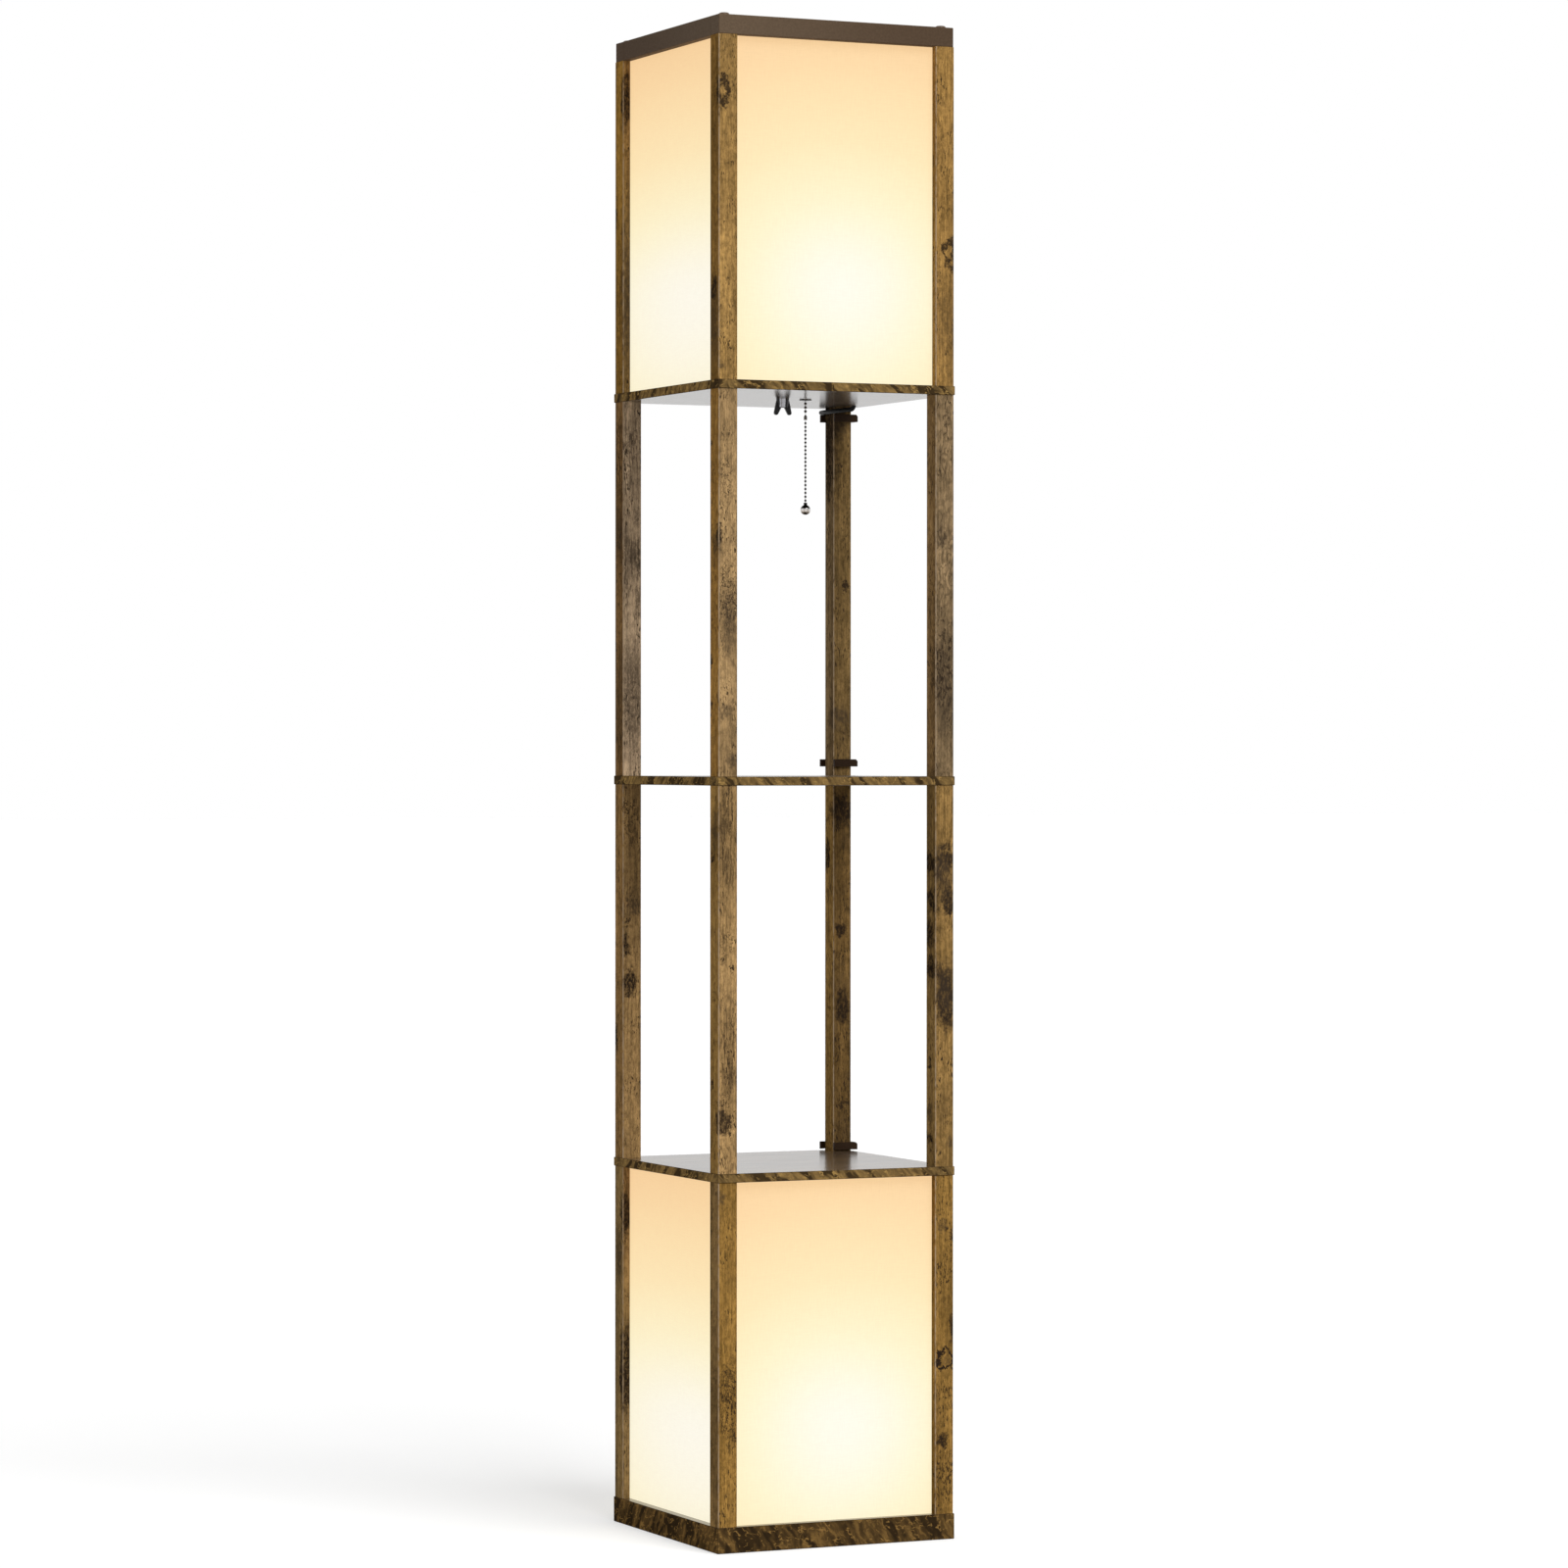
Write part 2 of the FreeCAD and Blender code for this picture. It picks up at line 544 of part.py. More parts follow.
def make_lampholders():
    levels = {
        "lower": (BASE_THICK, POCKET_ROOF - LOCK_NUT_HEIGHT - NIPPLE_BELOW_NUT),
        "upper": (UPPER_LIT_Z, UPPER_SHELF_Z - NIPPLE_BELOW_SHELF),
    }
    for level, (board_top, nipple_foot) in levels.items():
        nipple_top = board_top + NIPPLE_ABOVE
        save(level + "_nipple", ring(NIPPLE_RADIUS, NIPPLE_BORE, 0, 0, nipple_foot, nipple_top))
        save(level + "_holder_cup", holder_cup(board_top))
        save(level + "_socket", socket(board_top))
        save(level + "_bulb_base", bulb_base(board_top))
        save(level + "_bulb_globe", bulb_globe(board_top))
    nut_foot = POCKET_ROOF - LOCK_NUT_HEIGHT
    lock_nut = ring(LOCK_NUT_RADIUS, NIPPLE_RADIUS + NIPPLE_PLAY, 0, 0, nut_foot, POCKET_ROOF)
    save("lower_lock_nut", lock_nut)
    make_wing_nut()


# ---- pull switch ------------------------------------------------------------------------
def make_switch():
    z0 = UPPER_LIT_Z
    z1 = SWITCH_TOP
    x0 = CHAIN_X - SWITCH_WIDTH / 2
    x1 = CHAIN_X + SWITCH_WIDTH / 2
    half = SWITCH_DEPTH / 2
    wall = SWITCH_WALL
    shell = box(x0, x1, -half, half, z0, z1)
    room = box(x0 + wall, x1 - wall, -half + wall, half - wall, z0 + wall, z1)
    neck_foot = UPPER_SHELF_Z - NECK_NUT_HEIGHT
    neck = rod(NECK_RADIUS, CHAIN_X, 0, neck_foot, z0)
    pin_start = Vec(x0 + wall / 2, LEVER_AXIS_Y, LEVER_AXIS_Z)
    pin = Part.makeCylinder(LEVER_PIN_RADIUS, SWITCH_WIDTH - wall, pin_start, Vec(1, 0, 0))
    housing = fused([shell.cut(room), neck, pin])
    housing = housing.cut(rod(NECK_BORE, CHAIN_X, 0, neck_foot, z0 + wall))
    save("switch_housing", housing)
    cover = rounded(box(x0, x1, -half, half, z1, z1 + wall), wall / 2, is_upright)
    save("switch_cover", cover)
    nut = ring(NECK_NUT_RADIUS, NECK_RADIUS + NECK_PLAY, CHAIN_X, 0, neck_foot, UPPER_SHELF_Z)
    save("switch_neck_nut", nut)


def make_lever():
    z_axis = LEVER_AXIS_Z
    bar_z = STOP_Z - LEVER_PLAY - LEVER_BAR_RADIUS
    offset = STOP_RADIUS + LEVER_PLAY + LEVER_ARM_THICK / 2
    right = Vec(1, 0, 0)
    half_width = offset + LEVER_ARM_THICK / 2
    eye_start = Vec(CHAIN_X - half_width, LEVER_AXIS_Y, z_axis)
    pieces = [Part.makeCylinder(LEVER_EYE_RADIUS, 2 * half_width, eye_start, right)]
    run_y = LEVER_AXIS_Y - LEVER_BAR_Y
    fall = z_axis - bar_z
    tilt = math.degrees(math.atan2(fall, run_y))
    length = math.hypot(run_y, fall)
    for side in (-1, 1):
        x = CHAIN_X + side * offset - LEVER_ARM_THICK / 2
        arm = box(x, x + LEVER_ARM_THICK, -length, 0, -LEVER_ARM_HEIGHT / 2, LEVER_ARM_HEIGHT / 2)
        arm.rotate(Vec(0, 0, 0), right, tilt)
        arm.translate(Vec(0, LEVER_AXIS_Y, z_axis))
        pieces.append(arm)
    bar_start = Vec(CHAIN_X - half_width, LEVER_BAR_Y, bar_z)
    pieces.append(Part.makeCylinder(LEVER_BAR_RADIUS, 2 * half_width, bar_start, right))
    lever = fused(pieces)
    bore = Part.makeCylinder(LEVER_PIN_RADIUS + LEVER_PIN_PLAY, 2 * half_width, eye_start, right)
    save("switch_lever", lever.cut(bore))


# ---- pull chain -------------------------------------------------------------------------
def beads(radius, heights, wire_low, wire_high):
    wire = rod(WIRE_RADIUS, CHAIN_X, 0, wire_low, wire_high)
    balls = [Part.makeSphere(radius, Vec(CHAIN_X, 0, z)) for z in heights]
    return fused([wire] + balls)


def make_chain():
    first = UPPER_SHELF_Z - HEAD_FIRST_DROP
    heights = [first - i * HEAD_PITCH for i in range(-HEAD_HIDDEN, HEAD_VISIBLE)]
    head_end = heights[-1] - HEAD_BEAD_RADIUS - HEAD_STEM
    stop = rod(STOP_RADIUS, CHAIN_X, 0, STOP_Z, STOP_Z + STOP_HEIGHT)
    head = beads(HEAD_BEAD_RADIUS, heights, head_end, STOP_Z)
    save("chain_head", head.fuse(stop).removeSplitter())

    bell_top = head_end - JOINT_GAP
    neck = BELL_NECK_RADIUS
    halfway = ((neck + BELL_RADIUS) / 2, -BELL_NECK - BELL_SHOULDER / 4)
    profile = [(0, 0), (neck, 0), (neck, -BELL_NECK), halfway,
               (BELL_RADIUS, -BELL_NECK - BELL_SHOULDER), (BELL_RADIUS, -BELL_LENGTH), (0, -BELL_LENGTH)]
    save("chain_connector", turned(profile, CHAIN_X, 0, bell_top))

    tail_top = bell_top - BELL_LENGTH - JOINT_GAP
    tail_first = tail_top - TAIL_BEAD_RADIUS - TAIL_STEM
    tail_heights = [tail_first - i * TAIL_PITCH for i in range(TAIL_COUNT)]
    tail_end = tail_heights[-1] - TAIL_BEAD_RADIUS - TAIL_END_STEM
    save("chain_tail", beads(TAIL_BEAD_RADIUS, tail_heights, tail_end, tail_top))

    ball_z = tail_end - BALL_CAP - BALL_RADIUS
    cap = rod(BALL_CAP_RADIUS, CHAIN_X, 0, ball_z + BALL_RADIUS - BALL_CAP_SINK, tail_end)
    ball = Part.makeSphere(BALL_RADIUS, Vec(CHAIN_X, 0, ball_z)).fuse(cap).removeSplitter()
    save("chain_ball", ball)


# ---- held lead and its clips ------------------------------------------------------------
def cord_clip(z, cradled):
    """Clip around the rear right post, open to the left, with or without a cradle for the lead."""
    left = POST_INNER
    right = POST_FACE + CLIP_SIDE
    z1 = z + CLIP_HEIGHT
    clip = box(left, right, POST_INNER - CLIP_THICK, CLIP_BACK, z, z1)
    near = CLIP_CHAMFER / 2
    edges = [e for e in clip.Edges if e.BoundBox.XMin > right - near and e.BoundBox.ZMin > z1 - near]
    clip = clip.makeChamfer(CLIP_CHAMFER, edges)
    arm = box(left - CLIP_REACH, left, POST_FACE, CLIP_BACK, z, z1)
    clip = clip.fuse(arm).removeSplitter()
    if cradled:
        bore = LEAD_RADIUS + LEAD_PLAY
        outer = bore + CRADLE_WALL
        clip = fused([clip, rod(outer, POST_MID, LEAD_BACK_Y, z, z1)])
        clip = clip.cut(rod(bore, POST_MID, LEAD_BACK_Y, z, z1))
        mouth = CRADLE_MOUTH / 2
        slot_end = LEAD_BACK_Y + outer
        clip = clip.cut(box(POST_MID - mouth, POST_MID + mouth, LEAD_BACK_Y, slot_end, z, z1))
    return clip.cut(box(left, POST_FACE, POST_INNER, POST_FACE, z, z1))


def make_clips():
    upper = cord_clip(UPPER_SHELF_Z - CLIP_UPPER_DROP - CLIP_HEIGHT, False)
    middle = cord_clip(MIDDLE_SHELF_Z + SHELF_THICK + CLIP_MIDDLE_RISE, True)
    lower = cord_clip(LOWER_SHELF_Z + SHELF_THICK + CLIP_LOWER_RISE, True)
    save("cord_clips", upper, middle, lower)


def lead_route():
    """Corner points of the lead, from the switch to the terminal block, with the tightest bends."""
    level = UPPER_LIT_Z + LEAD_RADIUS + LEAD_PLAY
    start_y = LEAD_LEVEL_BENDS[0][1]
    points = [Vec(CHAIN_X + SWITCH_WIDTH / 2, start_y, level)]
    points += [Vec(x, y, level) for x, y in LEAD_LEVEL_BENDS]
    tight = {len(points): LEAD_HOLE_BEND, len(points) + 1: LEAD_HOLE_BEND}
    clip_top = UPPER_SHELF_Z - CLIP_UPPER_DROP
    over_clip = clip_top + LEAD_RADIUS + LEAD_OVER_CLIP
    side_x = POST_INNER - LEAD_RADIUS - LEAD_PLAY - LEAD_SIDE_ROOM
    entry_x, entry_y = lead_entry()
    leave_z = LOWER_SHELF_Z - LEAD_LEAVE
    block_x = BLOCK_CENTRE[0] + BLOCK_SIZE[0] / 2
    points += [
        Vec(LEAD_EXIT_X, LEAD_EXIT_Y, level + LEAD_RISE),
        Vec(LEAD_EXIT_X, LEAD_EXIT_Y, UPPER_SHELF_Z - LEAD_DROP),
        Vec(side_x, POST_INNER - CLIP_THICK, over_clip),
        Vec(side_x, LEAD_BACK_Y + LEAD_BACK_ROOM, over_clip),
        Vec(POST_MID, LEAD_BACK_Y, over_clip - LEAD_TURN_DROP),
        Vec(POST_MID, LEAD_BACK_Y, leave_z),
        Vec(entry_x + LEAD_RADIUS, LEAD_BACK_Y, leave_z - LEAD_SWING),
        Vec(entry_x, entry_y, leave_z - 2 * LEAD_SWING),
        Vec(entry_x, entry_y, LEAD_RUN_Z),
        Vec(POCKET_LENGTH / 2 - DUCT_WIDTH, BLOCK_CENTRE[1], LEAD_RUN_Z),
        Vec(block_x, BLOCK_CENTRE[1], LEAD_RUN_Z),
    ]
    tight[len(points) - 3] = LEAD_BASE_BEND
    return points, tight


def arc_radius(before, corner, after):
    """Arc that a corner's two runs leave room for, and its tangent length."""
    shorter = min((corner - before).Length, (after - corner).Length)
    turn = (corner - before).getAngle(after - corner)
    tangent = LEAD_ARC_SHARE * shorter
    return tangent / math.tan(turn / 2), tangent


def route_wire(points, tight):
    """Straight runs joined by tangent arcs; tight holds the radius of a corner that a hole sets."""
    edges = []
    start = points[0]
    radii = []
    for i in range(1, len(points) - 1):
        corner = points[i]
        back = (points[i - 1] - corner).normalize()
        ahead = (points[i + 1] - corner).normalize()
        radius, tangent = arc_radius(points[i - 1], corner, points[i + 1])
        if i in tight:
            turn = (corner - points[i - 1]).getAngle(points[i + 1] - corner)
            tangent = min(tangent, tight[i] * math.tan(turn / 2))
            radius = tangent / math.tan(turn / 2)
        radii.append(radius)
        enter = corner + back * tangent
        leave = corner + ahead * tangent
        bisector = (back + ahead).normalize()
        reach = math.hypot(radius, tangent) - radius
        middle = corner + bisector * reach
        edges.append(Part.LineSegment(start, enter).toShape())
        edges.append(Part.Arc(enter, middle, leave).toShape())
        start = leave
    edges.append(Part.LineSegment(start, points[-1]).toShape())
    return Part.Wire(edges), radii


def make_lead():
    points, tight = lead_route()
    wire, radii = route_wire(points, tight)
    way = points[1] - points[0]
    section = Part.Wire(Part.makeCircle(LEAD_RADIUS, points[0], way))
    tube = wire.makePipeShell([section], True, False)
    expected = math.pi * LEAD_RADIUS ** 2 * wire.Length
    print("lead length %.1f mm, radii %s" % (wire.Length, ["%.1f" % r for r in radii]))
    print("lead volume %.1f, expected %.1f" % (tube.Volume, expected))
    save("held_lead", tube)


def main():
    os.makedirs("parts", exist_ok=True)
    make_base()
    make_gland_and_block()
    make_posts()
    make_studs()
    make_screws()
    make_shelves()
    make_top_frame()
    make_screw_caps()
    make_panels()
    make_lampholders()
    make_switch()
    make_lever()
    make_chain()
    make_clips()
    make_lead()


main()
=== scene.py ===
"""Looks of the shelf floor lamp: camera, studio and a procedural material for each piece, in metres."""
import math

import bpy
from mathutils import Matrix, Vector


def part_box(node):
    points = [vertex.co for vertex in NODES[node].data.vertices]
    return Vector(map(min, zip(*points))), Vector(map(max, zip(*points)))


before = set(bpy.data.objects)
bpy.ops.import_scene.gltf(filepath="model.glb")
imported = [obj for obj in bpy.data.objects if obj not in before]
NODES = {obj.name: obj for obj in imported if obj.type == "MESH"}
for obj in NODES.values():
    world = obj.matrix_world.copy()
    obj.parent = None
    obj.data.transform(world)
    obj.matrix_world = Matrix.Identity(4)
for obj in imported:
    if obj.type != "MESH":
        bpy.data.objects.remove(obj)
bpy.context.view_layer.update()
SCENE = bpy.context.scene
POST_INNER, POST_FACE = (corner[0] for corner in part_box("lower_bay_post_front_right"))
POST_MID = (POST_FACE + POST_INNER) / 2
LIT_FLOOR = {"lower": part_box("base_board")[1][2], "upper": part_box("upper_shelf")[1][2]}
UPPER_SHELF_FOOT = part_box("upper_shelf")[0][2]
# Painted highlight: two strips of bright steel on the upper lampholder's nut, where its highlights fall; one
# looks 25 degrees left of the front, one opposite.
HIGHLIGHT_STRIP_TURN = math.radians(25)
HIGHLIGHT_STRIP_ACROSS = (math.cos(HIGHLIGHT_STRIP_TURN), -math.sin(HIGHLIGHT_STRIP_TURN))
HIGHLIGHT_STRIP_HALF_WIDTH = 0.0030
HIGHLIGHT_STRIP_RADIUS = 0.0075       # faces further from the nut's axis stay black
HIGHLIGHT_STRIP_DROP = 0.0092         # and so do those further below the shelf

WHITE = (1.0, 1.0, 1.0, 1.0)
CAMERA_PLACE = (-2.489, -5.366, 0.8324)
CAMERA_TURN = (90 - 0.32, -0.025, -24.90)   # degrees
CAMERA_LENS = 126.8                         # mm, for a film that is 36 mm wide
CAMERA_FILM = 36.0
WORLD_LIGHT = 0.42
FLOOR_REACH = 60.0
FLOOR_DROP = 0.0002                         # floor below the lamp's underside
FLOOR_GREY = 0.52
FLOOR_LIFT = 0.50


# ---------------------------------------------------------------- camera, world, floor, lamps
def make_camera():
    data = bpy.data.cameras.new("camera")
    data.sensor_width = CAMERA_FILM
    data.lens = CAMERA_LENS
    data.clip_start = 0.1
    data.clip_end = 200.0
    camera = bpy.data.objects.new("camera", data)
    camera.location = CAMERA_PLACE
    camera.rotation_euler = [math.radians(a) for a in CAMERA_TURN]
    SCENE.collection.objects.link(camera)
    SCENE.camera = camera


def linear(r, g, b):
    """An 8-bit display colour as the linear colour that renders so."""
    def one(c):
        c = c / 255
        return c / 12.92 if c <= 0.04045 else ((c + 0.055) / 1.055) ** 2.4
    return (one(r), one(g), one(b), 1.0)


class Graph:
    """A node tree with short calls: every call returns the new node's first output."""

    def __init__(self, owner):
        owner.use_nodes = True
        self.tree = owner.node_tree
        self.tree.nodes.clear()

    def add(self, kind, inputs=(), output=0, **settings):
        made = self.tree.nodes.new(kind)
        for name, value in settings.items():
            setattr(made, name, value)
        pairs = inputs.items() if isinstance(inputs, dict) else enumerate(inputs)
        for key, value in pairs:
            if isinstance(value, bpy.types.NodeSocket):
                self.tree.links.new(value, made.inputs[key])
            elif value is not None:
                made.inputs[key].default_value = value
        return made.outputs[output] if made.outputs else made

    def math(self, operation, *values):
        return self.add("ShaderNodeMath", values, operation=operation)

    def vector(self, operation, *values, output=0):
        return self.add("ShaderNodeVectorMath", values, output=output, operation=operation)

    def place(self):
        return self.add("ShaderNodeTexCoord", output="Object")

    def axes(self, vector):
        made = self.tree.nodes.new("ShaderNodeSeparateXYZ")
        self.tree.links.new(vector, made.inputs[0])
        return made.outputs

    def noise(self, vector, scale, detail=2.0, roughness=0.5, stretch=(1, 1, 1)):
        grown = self.vector("MULTIPLY", vector, tuple(scale * s for s in stretch))
        fields = {"Vector": grown, "Scale": 1.0, "Detail": detail, "Roughness": roughness}
        return self.add("ShaderNodeTexNoise", fields)

    def wander(self, vector, scale, detail, roughness=0.5):
        """Noise with three values at each place, by which a pattern is bent."""
        fields = {"Vector": vector, "Scale": scale, "Detail": detail, "Roughness": roughness}
        return self.add("ShaderNodeTexNoise", fields, output="Color")

    def off_middle(self, noise):
        """How far a noise value is from 0.5, which draws thin lines."""
        return self.math("ABSOLUTE", self.math("SUBTRACT", noise, 0.5))

    def dim(self, colour, tone):
        """The colour multiplied by one number."""
        return self.vector("MULTIPLY", colour, self.add("ShaderNodeCombineXYZ", [tone, tone, tone]))

    def span(self, value, low, high, to_low=0.0, to_high=1.0):
        fields = {"Value": value, "From Min": low, "From Max": high, "To Min": to_low, "To Max": to_high}
        return self.add("ShaderNodeMapRange", fields, interpolation_type="SMOOTHSTEP")

    def mix(self, share, a, b):
        """Colour a where share is 0 and b where it is 1; in colour mode these are inputs 0, 6 and 7."""
        made = self.tree.nodes.new("ShaderNodeMix")
        made.data_type = "RGBA"
        for index, value in ((0, share), (6, a), (7, b)):
            if isinstance(value, bpy.types.NodeSocket):
                self.tree.links.new(value, made.inputs[index])
            else:
                made.inputs[index].default_value = value
        return made.outputs[2]

    def ramp(self, value, stops, interpolation="LINEAR"):
        made = self.tree.nodes.new("ShaderNodeValToRGB")
        made.color_ramp.interpolation = interpolation
        elements = made.color_ramp.elements
        while len(elements) > 1:
            elements.remove(elements[-1])
        elements[0].position, elements[0].color = stops[0]
        for position, colour in stops[1:]:
            elements.new(position).color = colour
        self.tree.links.new(value, made.inputs[0])
        return made.outputs[0]

    def bump(self, height, strength, distance):
        fields = {"Height": height, "Strength": strength, "Distance": distance}
        return self.add("ShaderNodeBump", fields)

    def surface(self, **fields):
        names = {key.replace("_", " "): value for key, value in fields.items()}
        shader = self.add("ShaderNodeBsdfPrincipled", names)
        self.add("ShaderNodeOutputMaterial", [shader])


def seen_rays(graph):
    """1 for camera, glossy and transmission rays, 0 for the rays that carry light."""
    path = graph.tree.nodes.new("ShaderNodeLightPath").outputs
    some = graph.math("MAXIMUM", path["Is Camera Ray"], path["Is Glossy Ray"])
    return graph.math("MAXIMUM", some, path["Is Transmission Ray"])


def make_world():
    world = bpy.data.worlds.new("studio")
    SCENE.world = world
    graph = Graph(world)
    soft = graph.add("ShaderNodeBackground", [WHITE, WORLD_LIGHT])
    white = graph.add("ShaderNodeBackground", [WHITE, 1.0])
    mixed = graph.add("ShaderNodeMixShader", [seen_rays(graph), soft, white])
    graph.add("ShaderNodeOutputWorld", [mixed])


def make_floor():
    mesh = bpy.data.meshes.new("floor")
    sides = ((-1, -1), (1, -1), (1, 1), (-1, 1))
    corners = [(x * FLOOR_REACH, y * FLOOR_REACH, -FLOOR_DROP) for x, y in sides]
    mesh.from_pydata(corners, [], [(0, 1, 2, 3)])
    floor = bpy.data.objects.new("floor", mesh)
    SCENE.collection.objects.link(floor)
    material = bpy.data.materials.new("floor_paper")
    graph = Graph(material)
    lit = graph.add("ShaderNodeBsdfDiffuse", [(FLOOR_GREY, FLOOR_GREY, FLOOR_GREY, 1.0)])
    lift = graph.math("MULTIPLY", seen_rays(graph), FLOOR_LIFT)
    glow = graph.add("ShaderNodeEmission", [WHITE, lift])
    graph.add("ShaderNodeOutputMaterial", [graph.add("ShaderNodeAddShader", [lit, glow])])
    mesh.materials.append(material)


def make_sun(name, towards, strength, spread):
    data = bpy.data.lights.new(name, "SUN")
    data.energy = strength
    data.angle = math.radians(spread)
    lamp = bpy.data.objects.new(name, data)
    lamp.rotation_euler = Vector(towards).to_track_quat("Z", "Y").to_euler()
    SCENE.collection.objects.link(lamp)


# ---------------------------------------------------------------- wood
# Pale colour of the posts' long edges: the foil's seam, partly a painted highlight.
PALE_EDGE_HIGHLIGHT = linear(172, 150, 124)
SMOKE = linear(60, 50, 40)
KNOT = linear(44, 34, 26)
LIGHT_SHARE = 1.22
DARK_SHARE = 0.80
HIGHLIGHT_SEAM_START = 0.0014         # the pale seam and painted highlight begin this far from a post's edge
HIGHLIGHT_SEAM_FULL = 0.0006          # and are full this far from it
MARK_WARP = (0.020, 0.020, 0.050)
GRAIN_WARP = (0.004, 0.004, 0.004)
GRAIN_SHIFT = 0.37          # from one post's patterns to the next one's
RING_PLACE = 0.88           # middle of a ring's line, in shares of its radius


def edge_mask(graph):
    """1 on the rounded edges between the flat faces, 0 on the faces."""
    normal = graph.add("ShaderNodeNewGeometry", output="True Normal")
    x, y, z = (graph.math("ABSOLUTE", a) for a in graph.axes(normal))
    largest = graph.math("MAXIMUM", graph.math("MAXIMUM", x, y), z)
    return graph.span(largest, 0.985, 0.93)


def foil_seam_highlight(graph, local, corner):
    """1 along the two opposite long edges of a post, where the wood foil meets and a highlight is painted on
    the rounded edge, 0 elsewhere.
    """
    x, y, _ = graph.axes(local)
    a = graph.math("SUBTRACT", x, corner[0] * POST_MID)
    b = graph.math("SUBTRACT", y, corner[1] * POST_MID)
    same_side = graph.math("GREATER_THAN", graph.math("MULTIPLY", a, b), 0.0)
    inward = graph.math("MINIMUM", graph.math("ABSOLUTE", a), graph.math("ABSOLUTE", b))
    half = (POST_FACE - POST_INNER) / 2
    return graph.math("MULTIPLY", same_side, graph.span(inward, half - HIGHLIGHT_SEAM_START, half - HIGHLIGHT_SEAM_FULL))


# Plain marks: where the mark starts and where it is full, in shares of its size, its strength and colour.
STAINS = {
    "knot": (1.15, 0.75, 0.95, KNOT),
    "soot": (1.20, 0.60, 1.00, KNOT),
    "smoke": (1.30, 0.20, 0.75, SMOKE),
    "haze": (1.35, 0.10, 0.38, SMOKE),
}


class PostGrain:
    """The patterns that one post's marks are drawn with."""

    def __init__(self, graph, local, shift):
        self.graph = graph
        self.place = graph.vector("ADD", local, (shift, shift * 0.7, shift * 1.9))
        wander = graph.vector("SUBTRACT", graph.wander(local, 95.0, 6.0, 0.72), (0.5, 0.5, 0.5))
        self.warped = graph.vector("ADD", local, graph.vector("MULTIPLY", wander, MARK_WARP))
        self.bent = graph.vector("ADD", self.place, graph.vector("MULTIPLY", wander, GRAIN_WARP))
        self.made = {}

    def pattern(self, kind):
        """The pattern that one of the methods below draws, made once for each post."""
        if kind not in self.made:
            self.made[kind] = getattr(self, kind)()
        return self.made[kind]

    def ring(self):
        return self.graph.span(self.graph.noise(self.place, 300, 3, 0.7), 0.34, 0.52, 0.45, 1.0)

    def mottle(self):
        figure = self.graph.noise(self.place, 420, 4, 0.75, (1, 1, 0.5))
        return self.graph.span(figure, 0.36, 0.56, 0.45, 1.0)

    def dashes(self):
        return self.graph.span(self.graph.noise(self.bent, 620, 2, 0.6, (1, 1, 0.28)), 0.54, 0.60)

    def crackle(self):
        figure = self.graph.noise(self.bent, 170, 3, 0.7, (1, 1, 0.7))
        line = self.graph.off_middle(figure)
        return self.graph.math("MULTIPLY", self.graph.span(line, 0.045, 0.012), self.pattern("ring"))

    def veins(self):
        figure = self.graph.noise(self.bent, 190, 2, 0.6, (1, 1, 0.07))
        line = self.graph.off_middle(figure)
        return self.graph.span(line, 0.05, 0.01, 0.0, 0.7)

    def swirl(self):
        figure = self.graph.noise(self.bent, 70, 2, 0.5, (1, 1, 0.42))
        bands = self.graph.math("FRACT", self.graph.math("MULTIPLY", figure, 9.0))
        return self.graph.span(bands, 0.45, 0.95, 0.0, 0.6)

    def add_mark(self, colour, kind, centre, radius, height):
        """Paints one mark over the colour; centre, radius and height are in metres."""
        graph = self.graph
        offset = graph.vector("SUBTRACT", self.warped, centre)
        squeeze = (1 / radius, 1 / radius, 2 / height)
        apart = graph.vector("LENGTH", graph.vector("MULTIPLY", offset, squeeze), output="Value")
        if kind in STAINS:
            start, full, strength, stain = STAINS[kind]
            where = graph.span(apart, start, full, 0.0, strength)
            return graph.mix(graph.math("MULTIPLY", where, self.pattern("mottle")), colour, stain)
        if kind == "eye":
            rim = graph.span(graph.math("ABSOLUTE", graph.math("SUBTRACT", apart, RING_PLACE)), 0.28, 0.12)
            pupil = graph.span(apart, 0.62, 0.10, 0.0, 0.55)
            colour = graph.mix(pupil, colour, SMOKE)
            return graph.mix(rim, colour, KNOT)
        if kind == "ring":
            away = graph.math("ABSOLUTE", graph.math("SUBTRACT", apart, RING_PLACE))
            where = graph.span(away, 0.46, 0.20, 0.0, 0.92)
        else:
            where = graph.span(apart, 1.15, 0.6, 0.0, 0.85)
        return graph.mix(graph.math("MULTIPLY", where, self.pattern(kind)), colour, KNOT)


def sideways(graph):
    """1 on the faces that look left or right, 0 on the others."""
    normal = graph.add("ShaderNodeNewGeometry", output="True Normal")
    return graph.span(graph.math("ABSOLUTE", graph.axes(normal)[0]), 0.68, 0.73)


def face_tones(graph, front, side):
    """The light and dark tones of the wood foil on the front and the side faces, which differ partly by the
    foil's own tone and partly by painted light and shade.
    """
    turned = sideways(graph)
    for share in (LIGHT_SHARE, DARK_SHARE):
        yield graph.mix(turned, *(tuple(c * share for c in tone[:3]) + (1.0,) for tone in (front, side)))


